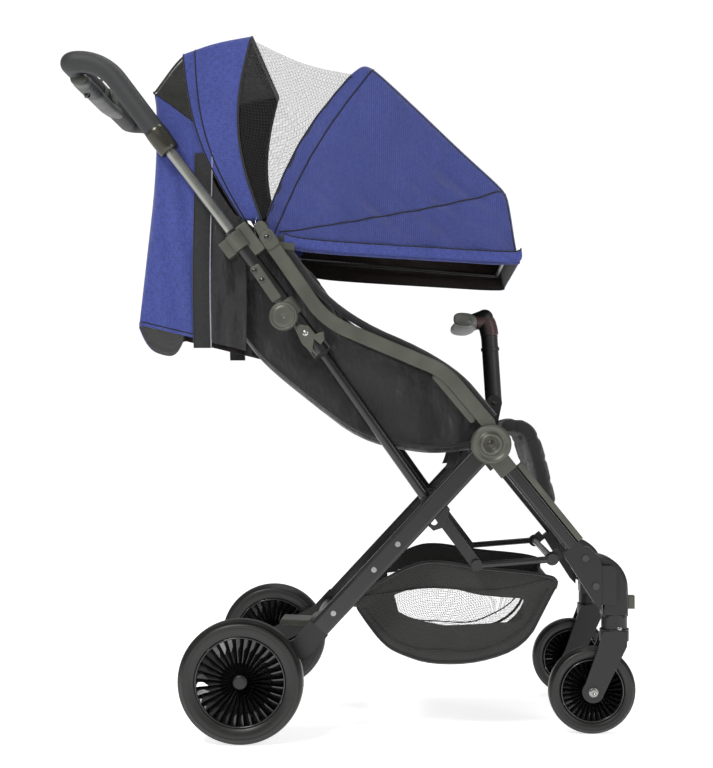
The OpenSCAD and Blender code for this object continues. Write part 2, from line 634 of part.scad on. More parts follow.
front_leg(1);  // front_leg_left
front_leg(-1);  // front_leg_right
leg_trims();
hub_plates();
front_bracket(1);  // front_bracket_left
front_bracket(-1);  // front_bracket_right
caster_housing(1);  // caster_housing_left
caster_housing(-1);  // caster_housing_right
footrest_bar();
footrest_caps();
basket();
basket_clips();
front_bolts();
fork(1);  // fork_left
fork(-1);  // fork_right
front_tyre(1);  // front_tyre_left
front_tyre(-1);  // front_tyre_right
front_rim(1);  // front_rim_left
front_rim(-1);  // front_rim_right
front_axle_bolt(1);  // front_axle_left
front_axle_bolt(-1);  // front_axle_right
swivel_lock(1);  // swivel_lock_left
swivel_lock(-1);  // swivel_lock_right
rear_leg(1);  // rear_leg_left
rear_leg(-1);  // rear_leg_right
rear_feet();
rear_crossbar();
rear_axles();
strut_brackets();
rear_rivets();
rear_tyre(1);  // rear_tyre_left
rear_tyre(-1);  // rear_tyre_right
rear_rim(1);  // rear_rim_left
rear_rim(-1);  // rear_rim_right
brake_pedal();
struts();
basket_links();
basket_hoop();
side_rails();
hub_caps();
seat_cross_tube();
push_tubes();
tube_blocks();
strut_sliders();
handle_tube();
handle_grip();
fold_housing();
fold_button();
fold_slider();
bumper_socket();
bumper_post();
bumper_bar();
seat_pan();
backrest();
leg_rest();
canopy_rear();
canopy_mid();
canopy_front();
mid_hoop();
visor_hoop();
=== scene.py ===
"""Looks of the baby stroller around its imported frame: fabrics, wheels, grips, lights and camera."""
import json
import math

import bmesh
import bpy
import numpy as np
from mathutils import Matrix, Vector


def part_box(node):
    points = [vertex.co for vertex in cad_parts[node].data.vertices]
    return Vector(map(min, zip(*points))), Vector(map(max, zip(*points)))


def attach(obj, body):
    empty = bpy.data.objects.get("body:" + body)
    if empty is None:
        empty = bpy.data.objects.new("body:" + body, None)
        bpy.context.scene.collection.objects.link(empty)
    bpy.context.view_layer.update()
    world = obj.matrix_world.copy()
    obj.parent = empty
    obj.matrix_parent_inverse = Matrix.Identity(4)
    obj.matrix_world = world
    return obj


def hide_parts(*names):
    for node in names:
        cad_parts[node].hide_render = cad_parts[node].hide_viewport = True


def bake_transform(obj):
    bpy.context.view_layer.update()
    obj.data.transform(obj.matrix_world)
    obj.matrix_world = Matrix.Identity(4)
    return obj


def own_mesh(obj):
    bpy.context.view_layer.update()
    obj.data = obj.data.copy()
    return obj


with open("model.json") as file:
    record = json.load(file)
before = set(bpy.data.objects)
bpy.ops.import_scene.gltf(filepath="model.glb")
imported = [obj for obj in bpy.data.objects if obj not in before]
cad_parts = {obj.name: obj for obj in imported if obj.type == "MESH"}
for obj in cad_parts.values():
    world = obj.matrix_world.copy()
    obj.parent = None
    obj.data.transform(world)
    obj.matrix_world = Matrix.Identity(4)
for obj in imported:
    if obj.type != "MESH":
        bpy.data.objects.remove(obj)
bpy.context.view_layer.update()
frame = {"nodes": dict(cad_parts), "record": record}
nodes = frame["nodes"]
MM = 0.001
scene = bpy.context.scene


# ---------------------------------------------------------------- materials
class Nodes:
    """Short names for building one material's nodes."""

    def __init__(self, name):
        self.mat = bpy.data.materials.new(name)
        self.mat.use_nodes = True
        self.tree = self.mat.node_tree
        self.tree.nodes.clear()
        self.out = self.add("ShaderNodeOutputMaterial")
        self.bsdf = self.add("ShaderNodeBsdfPrincipled")
        self.link(self.bsdf.outputs[0], self.out.inputs[0])
        self.coord = self.add("ShaderNodeTexCoord")

    def add(self, kind, **props):
        node = self.tree.nodes.new(kind)
        for key, value in props.items():
            setattr(node, key, value)
        return node

    def link(self, a, b):
        self.tree.links.new(a, b)

    def put(self, socket, value):
        if isinstance(value, bpy.types.NodeSocket):
            self.link(value, socket)
        else:
            socket.default_value = value

    def set(self, name, value):
        self.put(self.bsdf.inputs[name], value)

    def math(self, op, a, b=0.0, clamp=False):
        n = self.add("ShaderNodeMath", operation=op, use_clamp=clamp)
        self.put(n.inputs[0], a)
        self.put(n.inputs[1], b)
        return n.outputs[0]

    def noise(self, scale, detail=2.0, coord="Object", stretch=None, rough=0.5):
        n = self.add("ShaderNodeTexNoise")
        n.inputs["Scale"].default_value = scale
        n.inputs["Detail"].default_value = detail
        n.inputs["Roughness"].default_value = rough
        self.link(self.place(coord, stretch), n.inputs["Vector"])
        return n.outputs["Fac"]

    def place(self, coord, stretch=None):
        source = self.coord.outputs[coord]
        if stretch is None:
            return source
        m = self.add("ShaderNodeMapping")
        m.inputs["Scale"].default_value = stretch
        self.link(source, m.inputs["Vector"])
        return m.outputs["Vector"]

    def axis(self, coord, which):
        s = self.add("ShaderNodeSeparateXYZ")
        self.link(self.coord.outputs[coord], s.inputs[0])
        return s.outputs[which]

    def wave(self, coord, which, pitch, phase=0.0):
        """A sine from -1 to 1 along one axis, with that pitch in metres."""
        a = self.math("MULTIPLY_ADD", self.axis(coord, which), 2 * math.pi / pitch)
        a.node.inputs[2].default_value = phase
        return self.math("SINE", a)

    def mix(self, fac, a, b):
        n = self.add("ShaderNodeMix", data_type="RGBA")
        self.put(n.inputs["Factor"], fac)
        self.put(n.inputs[6], a)
        self.put(n.inputs[7], b)
        return n.outputs[2]

    def ramp(self, value, low, high, to_low=0.0, to_high=1.0):
        n = self.add("ShaderNodeMapRange")
        self.put(n.inputs["Value"], value)
        for key, v in (("From Min", low), ("From Max", high), ("To Min", to_low), ("To Max", to_high)):
            n.inputs[key].default_value = v
        return n.outputs[0]

    def bump(self, height, distance, strength=1.0, under=None):
        n = self.add("ShaderNodeBump")
        n.inputs["Distance"].default_value = distance
        n.inputs["Strength"].default_value = strength
        self.link(height, n.inputs["Height"])
        if under is not None:
            self.link(under, n.inputs["Normal"])
        return n.outputs[0]


def rgb(r, g, b):
    """Linear colour from 0-255 display values."""
    shares = (c / 255 for c in (r, g, b))
    return tuple(((c + 0.055) / 1.055) ** 2.4 if c > 10 / 255 else c / 12.92 for c in shares) + (1.0,)


def scaled(colour, k):
    return tuple(min(1.0, c * k) for c in colour[:3]) + (1.0,)


def hard(name, colour, rough, metal=0.0, grain=900, depth=0.00005, spread=0.08, coat=0.0, wear=0.0,
         tint=0.12, edge=0.0008):
    """Moulded plastic, painted or bare metal: fine surface grain, uneven gloss and a little wear."""
    n = Nodes(name)
    blotch = n.noise(28, 4)
    fine = n.noise(grain, 2)
    base = n.mix(n.ramp(blotch, 0.3, 0.7), scaled(colour, 1 - tint), scaled(colour, 1 + tint))
    if wear:
        scuff = n.ramp(n.noise(120, 5, stretch=(1, 1, 6), rough=0.7), 0.66, 0.78)
        base = n.mix(n.math("MULTIPLY", scuff, wear), base, scaled(colour, 2.2))
    n.set("Base Color", base)
    n.set("Metallic", metal)
    n.set("Roughness", n.ramp(n.math("ADD", n.math("MULTIPLY", blotch, 0.6), n.math("MULTIPLY", fine, 0.4)),
                              0.3, 0.7, max(0.02, rough - spread), rough + spread))
    n.set("Coat Weight", coat)
    n.set("Coat Roughness", 0.15)
    under = None
    if edge:
        bevel = n.add("ShaderNodeBevel", samples=3)
        bevel.inputs["Radius"].default_value = edge
        under = bevel.outputs[0]
    n.set("Normal", n.bump(fine, depth, under=under))
    return n.mat


def weave_height(n, pitch, coord):
    """Over-and-under threads on every axis-aligned face."""
    x, y, z = (n.wave(coord, i, pitch) for i in range(3))
    if coord == "UV":
        return n.math("MULTIPLY", x, y)
    crossings = n.math("ADD", n.math("MULTIPLY", x, z), n.math("MULTIPLY", x, y))
    return n.math("ADD", crossings, n.math("MULTIPLY", y, z))


def fabric(name, colour, pitch=0.0014, coord="UV", fleck=0.35, rough=0.85, sheen=0.25, rib=0.0, depth=0.00012,
           back=None, shade=0.18, crease=0.0, coarse=1.0):
    """Woven cloth: threads, flecks of heather, soft clouding, and ribs where asked for, with painted shade in
    the rib grooves.
    """
    n = Nodes(name)
    weave = weave_height(n, pitch, coord)
    warp = n.noise(1 / pitch * coarse, 2, coord, (1, 0.18, 1))
    weft = n.noise(1 / pitch * coarse, 2, coord, (0.18, 1, 1))
    heather = n.math("ADD", n.math("MULTIPLY", warp, 0.5), n.math("MULTIPLY", weft, 0.5))
    cloud = n.noise(9, 3)
    dark, light = scaled(colour, 1 - fleck), scaled(colour, 1 + fleck)
    base = n.mix(n.ramp(heather, 0.36, 0.64), dark, light)
    base = n.mix(n.ramp(cloud, 0.35, 0.65, 0.0, shade), base, scaled(colour, 0.45))
    height = weave
    if rib:
        rib_wave_and_groove_shade = n.wave("Object", 0, rib)
        # painted shade: the colour darkens in the rib grooves, the low side of the wave that the bump also
        # sinks
        base = n.mix(n.ramp(rib_wave_and_groove_shade, -1, -0.2, 0.38, 0.0), base, scaled(colour, 0.45))
        height = n.math("ADD", n.math("MULTIPLY", rib_wave_and_groove_shade, 1.4), weave)
    if back is not None:
        facing = n.add("ShaderNodeNewGeometry").outputs["Backfacing"]
        base = n.mix(facing, base, back)
    n.set("Base Color", base)
    n.set("Roughness", rough)
    n.set("Sheen Weight", sheen)
    n.set("Sheen Roughness", 0.5)
    n.set("Specular IOR Level", 0.25)
    soft = None
    if crease:
        swell = n.noise(7, 2, stretch=(1.6, 1, 0.7))
        ripple = n.math("MULTIPLY", n.noise(22, 3, stretch=(1, 1, 0.6)), 0.35)
        soft = n.bump(n.math("ADD", swell, ripple), crease)
    n.set("Normal", n.bump(height, depth, 0.8, under=soft))
    return n.mat


def net(name, colour, pitch, open_share, coord="UV", window=None):
    """Knitted mesh with real holes. Where window is given, only that attribute's positive side is open."""
    n = Nodes(name)
    x, y = n.wave(coord, 0, pitch), n.wave(coord, 1, pitch)
    threads = n.math("ADD", n.math("ADD", x, y), 2.0)
    hole = n.math("GREATER_THAN", n.math("MULTIPLY", threads, 0.25), 1 - open_share)
    thread = n.noise(700, 2)
    base = n.mix(n.ramp(thread, 0.3, 0.7), scaled(colour, 0.7), scaled(colour, 1.3))
    if window:
        inside = n.add("ShaderNodeAttribute", attribute_name=window).outputs["Fac"]
        hole = n.math("MULTIPLY", hole, n.math("GREATER_THAN", inside, 0.0))
    n.set("Base Color", base)
    n.set("Roughness", 0.75)
    n.set("Sheen Weight", 0.15)
    n.set("Normal", n.bump(n.math("ADD", x, y), 0.00015))
    n.set("Alpha", n.math("SUBTRACT", 1.0, hole))
    return n.mat


BLUE = rgb(58, 68, 132)
NAVY = rgb(17, 20, 40)
LINING = rgb(27, 18, 15)
BLACK_CLOTH = rgb(30, 30, 32)
RAIL = rgb(86, 88, 80)

M = {
    "frame_black": hard("satin_black_paint", rgb(13, 14, 13), 0.3, grain=600, depth=0.00003, wear=0.12,
                        coat=0.2),
    "black_plastic": hard("textured_black_plastic", rgb(17, 18, 17), 0.42, grain=1500, depth=0.00008,
                          wear=0.08),
    "grey_plastic": hard("olive_grey_satin", RAIL, 0.4, metal=0.55, grain=1100, depth=0.00004, wear=0.1,
                         edge=0.0028),
    "tyre_rubber": hard("tyre_rubber", rgb(19, 19, 17), 0.4, grain=500, depth=0.00006, spread=0.1, wear=0.1,
                        edge=0),
    "rim_grey": hard("gloss_black_disc", rgb(17, 17, 18), 0.2, grain=700, depth=0.00002, coat=0.5, edge=0),
    "bright_metal": hard("brushed_aluminium", rgb(150, 151, 145), 0.3, metal=1.0, grain=400, depth=0.00002,
                         tint=0.05, edge=0),
    "bolt_steel": hard("bolt_steel", rgb(150, 150, 148), 0.22, metal=1.0, grain=900, depth=0.00004, tint=0.1),
    "foam": hard("grip_foam", rgb(34, 35, 36), 0.6, grain=1300, depth=0.00025, spread=0.05, tint=0.15),
    "blue_fabric": fabric("blue_heather", BLUE, back=LINING, fleck=0.3, crease=0.03),
    "blue_rib": fabric("blue_ribbed", BLUE, rib=0.0029, back=LINING, fleck=0.22, crease=0.03, depth=0.0003),
    "piping": fabric("navy_piping", NAVY, coord="Object", fleck=0.2),
    "lining": fabric("dark_lining", LINING, coord="Object", fleck=0.2),
    "black_fabric": fabric("black_polyester", BLACK_CLOTH, 0.0011, "Object", fleck=0.2, rough=0.6,
                           sheen=0.3, crease=0.03),
    "black_sheet": fabric("black_sheeting", BLACK_CLOTH, 0.0011, "UV", fleck=0.15, rough=0.5, sheen=0.25,
                          crease=0.07),
    "webbing": fabric("black_webbing", rgb(30, 30, 31), 0.0022, "UV", fleck=0.3, rough=0.6, depth=0.0003),
    "rear_film": hard("dark_window_film", rgb(30, 30, 27), 0.25, grain=300, depth=0.00002, edge=0),
    "edge": fabric("light_piping", rgb(150, 150, 158), 0.0012, "Object", fleck=0.2),
    "canopy_net": net("canopy_net", rgb(50, 50, 52), 0.0022, 0.72),
    "basket_net": net("basket_net", rgb(33, 33, 31), 0.0026, 0.72, window="window"),
    "bumper_skin": hard("moulded_grip", rgb(66, 68, 62), 0.42, grain=1400, depth=0.0001, edge=0),
    "black_gloss": hard("gloss_black_rivet", rgb(24, 24, 24), 0.18, coat=0.5, edge=0),
    "dark_metal": hard("gunmetal", rgb(74, 73, 66), 0.3, metal=0.9, grain=700, edge=0.0006),
    "floor_white": hard("studio_floor", (0.9, 0.9, 0.9, 1), 0.6, tint=0.01, depth=0.00001, edge=0),
    "elbow": hard("red_brown_plastic", rgb(66, 44, 42), 0.4, grain=900),
}
OTHER_FINISH = {"rear_axles": "black_plastic", "front_bolts": "black_gloss"}
for part in frame["record"]["subparts"]:
    key = part["material_slot"]
    if key in M:
        for s in nodes[part["node"]].material_slots:
            s.material = M[OTHER_FINISH.get(part["node"], key)]


# ---------------------------------------------------------------- mesh helpers
def lerp(a, b, t):
    return np.asarray(a, float) * (1 - t) + np.asarray(b, float) * t


def resample(points, count):
    """count points at even steps along a line."""
    p = np.asarray(points, float)
    d = np.r_[0, np.cumsum(np.linalg.norm(np.diff(p, axis=0), axis=1))]
    t = np.linspace(0, d[-1], count)
    return np.column_stack([np.interp(t, d, p[:, i]) for i in range(p.shape[1])])


def curve3(points, count, rounding=3):
    """Chaikin-rounded line through 3-D or 2-D points."""
    p = np.asarray(points, float)
    for _ in range(rounding):
        q = np.empty((2 * len(p), p.shape[1]))
        q[0], q[-1] = p[0], p[-1]
        q[1:-1:2] = p[:-1] * 0.75 + p[1:] * 0.25
        q[2::2] = p[:-1] * 0.25 + p[1:] * 0.75
        p = q
    return resample(p, count)


def mesh_object(name, verts, faces, material, uv=None, smooth=True):
    me = bpy.data.meshes.new(name)
    me.from_pydata([tuple(v) for v in verts], [], faces)
    me.validate()
    if uv is not None:
        layer = me.uv_layers.new(name="UVMap")
        loops = np.zeros(len(me.loops), int)
        me.loops.foreach_get("vertex_index", loops)
        layer.data.foreach_set("uv", np.asarray(uv, np.float32)[loops].ravel())
    if smooth:
        me.polygons.foreach_set("use_smooth", [True] * len(me.polygons))
    me.materials.append(material)
    ob = bpy.data.objects.new(name, me)
    scene.collection.objects.link(ob)
    return ob


def points_of(ob):
    return np.array([v.co for v in ob.data.vertices])


def move_points(ob, co):
    ob.data.vertices.foreach_set("co", co.astype(np.float32).ravel())


FLAT = {}   # each sheet's width, length and area as it was made


def declare(ob):
    """Rounds a sheet's flat width and length, the size its pattern had before it was thickened and sewn in,
    up to the next mm; nothing uses the result.
    """
    width, length, area = FLAT[ob.name]
    width, length = math.ceil(width * 1000) / 1000, math.ceil(length * 1000) / 1000


def grid(name, rows, material, close_u=False, close_v=False, flip=False):
    """Sheet from rows of points, with UVs in metres."""
    rows = np.asarray(rows, float)
    n, m = rows.shape[:2]
    verts = rows.reshape(-1, 3)
    faces = []
    for i in range(n if close_u else n - 1):
        for j in range(m if close_v else m - 1):
            a, b = i * m + j, i * m + (j + 1) % m
            c, d = ((i + 1) % n) * m + (j + 1) % m, ((i + 1) % n) * m + j
            faces.append((a, d, c, b) if flip else (a, b, c, d))
    du = np.r_[np.zeros((1, m)), np.cumsum(np.linalg.norm(np.diff(rows, axis=0), axis=2), axis=0)]
    dv = np.c_[np.zeros((n, 1)), np.cumsum(np.linalg.norm(np.diff(rows, axis=1), axis=2), axis=1)]
    uv = np.stack([du, dv], -1).reshape(-1, 2)
    ob = mesh_object(name, verts, faces, material, uv)
    FLAT[ob.name] = (du[-1].max(), dv[:, -1].max(), sum(p.area for p in ob.data.polygons))
    return ob


def tube(name, line, radius, material, sides=10, flat=1.0, caps=True, closed=False):
    """Round or flattened tube along a 3-D line. flat is its height as a share of its width."""
    p = np.asarray(line, float)
    r = np.broadcast_to(np.asarray(radius, float), (len(p),))
    t = np.gradient(p, axis=0)
    if closed:
        t = np.roll(p, -1, 0) - np.roll(p, 1, 0)
    t /= np.linalg.norm(t, axis=1)[:, None] + 1e-12
    up = np.array([0, 1.0, 0]) if abs(t[0][1]) < 0.9 else np.array([0, 0, 1.0])
    rings = []
    n = np.cross(up, t[0])
    for i in range(len(p)):
        n = n - t[i] * (n @ t[i])
        n /= np.linalg.norm(n) + 1e-12
        b = np.cross(t[i], n)
        a = np.linspace(0, 2 * math.pi, sides, endpoint=False)
        rings.append(p[i] + r[i] * (np.outer(np.cos(a), n) * flat + np.outer(np.sin(a), b)))
    ob = grid(name, rings, material, close_u=closed, close_v=True)
    if caps and not closed:
        me = ob.data
        k = len(p) * sides
        ends = [tuple(range(sides))[::-1], tuple(range(k - sides, k))]
        polys = [tuple(q.vertices) for q in me.polygons] + ends
        uv = np.zeros((k, 2))
        bpy.data.objects.remove(ob)
        ob = mesh_object(name, np.concatenate(rings), polys, material, uv)
    return ob


def strip(name, line, width, across, material, thick=0.0008):
    """Flat webbing along a line. across is the direction of its width at every point."""
    p, w = np.asarray(line, float), np.asarray(across, float)
    if w.ndim == 1:
        w = np.repeat(w[None], len(p), 0)
    w = w / np.linalg.norm(w, axis=1)[:, None]
    t = np.gradient(p, axis=0)
    n = np.cross(t, w)
    n /= np.linalg.norm(n, axis=1)[:, None] + 1e-12
    profile = ((-0.5, 0.2), (-0.46, 1), (0.46, 1), (0.5, 0.2), (0.46, -1), (-0.46, -1))
    rows = [p + w * width * k + n * thick * h for k, h in profile]
    return grid(name, np.stack(rows, 1), material, close_v=True)


def thicken(ob, thickness, inner=None, offset=-1.0):
    """Solidifies a sheet; the second material goes on its inside."""
    m = ob.modifiers.new("thick", "SOLIDIFY")
    m.thickness = thickness
    m.offset = offset
    if inner is not None:
        ob.data.materials.append(inner)
        m.material_offset = 1
        m.material_offset_rim = 0
    return ob


def subdivide(ob, levels=1):
    m = ob.modifiers.new("sub", "SUBSURF")
    m.levels = m.render_levels = levels
    return ob


def apply(ob):
    """Makes the modifiers' result the mesh itself."""
    dg = bpy.context.evaluated_depsgraph_get()
    me = bpy.data.meshes.new_from_object(ob.evaluated_get(dg))
    ob.modifiers.clear()
    ob.data = me
    return ob


# ---------------------------------------------------------------- canopy and basket sheets
class Vault:
    """A sheet hung over a ridge: side wall, corner, top, corner, side wall. Points in mm."""

    STATIONS, ROUNDING = 200, 2

    def __init__(self, ridge, low, half, radius, bow=(0, 0), sag=0.0, belly=0.0, out=-1.0):
        self.ridge, self.low = (curve3(line, self.STATIONS, self.ROUNDING) for line in (ridge, low))
        self.half, self.radius, self.bow, self.sag, self.belly, self.out = half, radius, bow, sag, belly, out
        self.folds = None
        self.dip = 0.0

    def v_at(self, u, x):
        """v on the near wall where the side wall crosses that x, for every u."""
        v = np.linspace(-1, -0.5, 200)
        gaps = [np.abs(self.at(np.full(200, k), v)[:, 0] - x) for k in u]
        return np.array([v[np.argmin(gap)] for gap in gaps])

    def at(self, u, v):
        """u from 0 to 1 along the ridge, v from -1 (near lower edge) to 1 (far lower edge)."""
        u, v = np.broadcast_arrays(np.asarray(u, float), np.asarray(v, float))
        k = u * (len(self.ridge) - 1)
        i = np.arange(len(self.ridge))
        top = np.stack([np.interp(k, i, self.ridge[:, c]) for c in (0, 1)], -1)
        low = np.stack([np.interp(k, i, self.low[:, c]) for c in (0, 1)], -1)
        run = top - low
        h = np.linalg.norm(run, axis=-1) + 1e-6
        side = np.stack([-run[..., 1], run[..., 0]], -1) / h[..., None]
        a = np.abs(v)
        r = np.minimum(self.radius, 0.95 * h)
        wall, arc = 0.5, 0.38
        w_wall = (1 - (a - wall) / (1 - wall)) * (1 - r / h)
        phi = np.clip((wall - a) / (wall - arc), 0, 1) * math.pi / 2
        w_arc = 1 - (r / h) * (1 - np.sin(phi))
        y_arc = self.half - self.radius * (1 - np.cos(phi))
        w = np.where(a > wall, w_wall, np.where(a > arc, w_arc, 1.0))
        y = np.where(a > wall, self.half, np.where(a > arc, y_arc, (self.half - self.radius) * a / arc))
        bow = self.bow[0] * (1 - u) + self.bow[1] * u
        p2 = low + run * w[..., None] + side * (bow * np.sin(np.pi * np.clip(w, 0, 1)))[..., None]
        mid = np.sin(np.pi * np.clip(u, 0, 1)) * (1 - (y / self.half) ** 2)
        p2 = p2 - (run / h[..., None]) * (self.sag * mid)[..., None]
        y = y - self.belly * np.sin(np.pi * np.clip(w, 0, 1)) * np.sin(np.pi * u) * (a > arc)
        p = np.stack([p2[..., 0], np.sign(v) * y, p2[..., 1]], -1)
        p[..., 2] -= self.dip * np.clip(u * 1.6 - 0.6, 0, 1) ** 2 * (1 - np.abs(y / self.half) ** 3)
        if self.folds is not None:
            reach = np.clip(np.sin(np.pi * np.clip(w, 0, 1)) * 2, 0, 1) * (a > arc)
            p[..., 1] -= np.sign(v) * self.folds(p2[..., 0], p2[..., 1]) * reach
        return p

    def normal(self, u, v, e=1e-3):
        pu = self.at(np.clip(u + e, 0, 1), v) - self.at(np.clip(u - e, 0, 1), v)
        pv = self.at(u, np.clip(v + e, -1, 1)) - self.at(u, np.clip(v - e, -1, 1))
        n = np.cross(pu, pv)
        return n / (np.linalg.norm(n, axis=-1)[..., None] + 1e-12)

    def sheet(self, name, material, u0=0.0, u1=1.0, v0=-1.0, v1=1.0, nu=60, nv=120, lift=0.0):
        u = np.repeat(np.linspace(u0, u1, nu)[:, None], nv, 1)
        v0, v1 = (np.broadcast_to(np.asarray(k, float), (nu,))[:, None] for k in (v0, v1))
        v = v0 + (v1 - v0) * np.linspace(0, 1, nv)[None]
        p = self.at(u, v)
        if lift:
            p = p + self.normal(u, v) * lift * self.out
        return grid(name, p * MM, material, flip=self.out < 0)

    def line(self, u, v, lift=0.0, count=120):
        u = np.interp(np.linspace(0, 1, count), np.linspace(0, 1, len(np.atleast_1d(u))), np.atleast_1d(u))
        v = np.interp(np.linspace(0, 1, count), np.linspace(0, 1, len(np.atleast_1d(v))), np.atleast_1d(v))
        return (self.at(u, v) + self.normal(u, v) * lift * self.out) * MM

    def locate(self, x, z):
        """The (u, v) of a side-view point on the near wall, by search."""
        u, v = np.meshgrid(np.linspace(0, 1, 160), np.linspace(-1, -0.38, 160), indexing="ij")
        p = self.at(u, v)
        k = np.argmin((p[..., 0] - x) ** 2 + (p[..., 2] - z) ** 2)
        return u.ravel()[k], v.ravel()[k]


HALF = 189.0     # half of the canopy's width
CORNER = 9       # radius where its top turns down into its sides
CLOTH = 0.0016   # thickness of lined cloth, in metres
SIDES = (("right", -1), ("left", 1))

hood = Vault(
    ridge=[(2, 957), (12, 968), (24, 969), (44, 954), (105, 897), (158, 846), (211, 798), (222, 785),
           (227, 768), (237, 700), (242, 687)],
    low=[(-121.5, 752), (-121, 735), (-118, 722), (-101, 708), (-75, 700), (0, 694), (120, 687), (200, 682),
         (236, 681), (241, 683)],
    half=HALF, radius=CORNER, bow=(14, 0), sag=5, belly=1.5)
mesh_panel = Vault(
    ridge=[(-148, 1009), (-94, 983), (-54, 968), (4, 957)],
    low=[(-133, 747), (-129, 747), (-124, 748), (-119, 749)],
    half=HALF - 2.5, radius=CORNER, bow=(27, 14), sag=9)
band = Vault(
    ridge=[(-243, 986), (-232, 990), (-195, 1003), (-143, 1012)],
    low=[(-158, 747), (-150, 745), (-140, 744), (-129, 744)],
    half=HALF, radius=CORNER, bow=(19, 27), sag=3)
window = Vault(
    ridge=[(-244, 984), (-256, 972), (-272, 950), (-286, 931)],
    low=[(-224, 884), (-236, 894), (-262, 913), (-284, 928)],
    half=HALF - 1.0, radius=CORNER, out=1.0)
curtain = Vault(
    ridge=[(-286, 930), (-282, 903), (-284, 804), (-297, 691), (-308, 596)],
    low=[(-224, 884), (-213, 850), (-200, 802), (-178, 768), (-156, 738), (-151, 690), (-150, 640),
         (-150, 600), (-151, 558)],
    half=HALF - 3.0, radius=CORNER, belly=-1.0, out=1.0)
curtain.dip = 34
curtain.folds = lambda x, z: 1.6 * np.sin((x + 0.12 * z) / 31 * 2 * np.pi) * np.clip((900 - z) / 120, 0, 1)


def hood_folds(x, z):
    """Folds that lean forward near the hood's lower edge, and broad ones over its whole side."""
    near_edge = np.exp(-((z - 742 - 0.12 * (x + 120)) / 38) ** 2)
    leaning = np.sin((x * 0.62 + z * 0.78) / 34 * 2 * np.pi + np.sin(x / 60))
    return 3.6 * leaning * near_edge + 1.2 * np.sin((x * 0.7 + z * 0.7) / 47 * 2 * np.pi + 1)


hood.folds = hood_folds


def finish_piece(ob, body="upper_frame", replaces=(), blend=None, squash=None):
    """Bakes the piece's transform into its mesh where blend is given, else attaches it to its body and, where
    squash is given, gives it its own mesh; hides the parts it stands for.
    """
    if blend:
        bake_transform(ob)
    else:
        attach(ob, body)
        if squash:
            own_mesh(ob)
    if replaces:
        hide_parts(*replaces)
    return ob


HOOD_BLEND = ("upper_frame", "canopy_visor", (-0.2784, 0, 1.0013), (0.242, 0, 0.687))
MESH_BLEND = ("upper_frame", "canopy_middle", (-0.143, 0, 1.012), (0.003, 0, 0.958))

# hood: one continuous sheet with lining, its bands and piping
hood_sheet = hood.sheet("canopy_hood", M["blue_rib"], nu=120, nv=170)
apply(thicken(hood_sheet, CLOTH, M["lining"]))
finish_piece(hood_sheet, None, ("canopy_front",), HOOD_BLEND)


def hood_trim(ob):
    """Finishes a piece that is sewn to the hood."""
    return finish_piece(ob, None, (), HOOD_BLEND)


def hood_piping(name, u, v, lift, radius, count):
    return hood_trim(tube(name, hood.line(u, v, lift, count), radius, M["piping"], 8))


def smoothed(values):
    """Running mean over five steps."""
    return np.convolve(np.pad(values, 2, "edge"), np.ones(5) / 5, "valid")


# wide band over the middle hoop, standing a little proud of the hood
middle_band = hood.sheet("canopy_middle_band", M["blue_fabric"], u0=0.0, u1=0.085, nu=14, nv=170, lift=1.2)
hood_trim(apply(thicken(middle_band, 0.0014)))
for tag, u in (("a", 0.087), ("b", 0.001)):
    hood_piping("canopy_band_piping_" + tag, [u, u], [-1, 1], 0.8, 0.0016, 240)
# piping along each top edge, and the seam that climbs forward across each side
seam = []
for x in np.linspace(-112, 219, 26):
    seam.append(hood.locate(x, 727 + (x + 118) * 58 / 337 - 4 * math.sin(math.pi * (x + 118) / 337)))
seam_u, seam_v = (smoothed(k) for k in np.array(seam).T)
for side, s in SIDES:
    hood_piping("canopy_edge_piping_" + side, [0.085, 0.985], [s * 0.45, s * 0.45], 0.6, 0.0013, 160)
    hood_piping("canopy_visor_seam_" + side, seam_u, -s * seam_v, 0.1, 0.0013, 140)
# seam across the front edge of the top panel
front_u = hood.locate(222, 785)[0]
hood_piping("canopy_front_seam", [front_u, front_u], [-0.46, 0.46], 0.3, 0.0011, 120)

# hem band round the visor's edge: side, front, side
hem_u, edge = np.linspace(0.14, 1, 90), np.ones(90)
front = hood.at(np.ones(80), np.linspace(-1, 1, 80))[1:-1]
hem_line = resample(np.vstack([hood.at(hem_u, -edge), front, hood.at(hem_u[::-1], edge)]), 300)
along = np.gradient(hem_line, axis=0)
along /= np.linalg.norm(along, axis=1)[:, None]
UP = np.array([0, 0, 1.0])
outward = np.cross(along, UP)
outward /= np.linalg.norm(outward, axis=1)[:, None]
if outward[20][1] > 0:
    outward = -outward
HEM_OUTSIDE = ((19, 1.0), (17, 2.4), (12, 3.0), (7, 3.0), (4, 2.0), (3.5, 0.6))
HEM_INSIDE = ((3.5, 0.6), (4, -1.2), (8, -2.6), (18, -2.4))
for name, mat, run in (("canopy_hem", "blue_fabric", HEM_OUTSIDE),
                       ("canopy_hem_facing", "lining", HEM_INSIDE)):
    rows = np.stack([hem_line + UP * rise + outward * step for rise, step in run], 1)
    hood_trim(grid(name, rows * MM, M[mat]))
hood_trim(tube("canopy_hem_stitch", (hem_line + UP * 19 + outward * 1.4) * MM, 0.0010, M["piping"], 6))
declare(hood_sheet)

# see-through panel between the hoops, zipped at its rear edge
panel = mesh_panel.sheet("canopy_mesh_panel", M["canopy_net"], nu=60, nv=150)
finish_piece(panel, None, ("canopy_mid",), MESH_BLEND)
declare(panel)
for tag, u in (("rear", 0.012), ("front", 0.99)):
    line = mesh_panel.line([u, u], [-1, 1], 0, 200)
    binding = tube("canopy_mesh_binding_" + tag, line, 0.0026, M["webbing"], 8, flat=0.5)
    finish_piece(binding, None, (), MESH_BLEND)

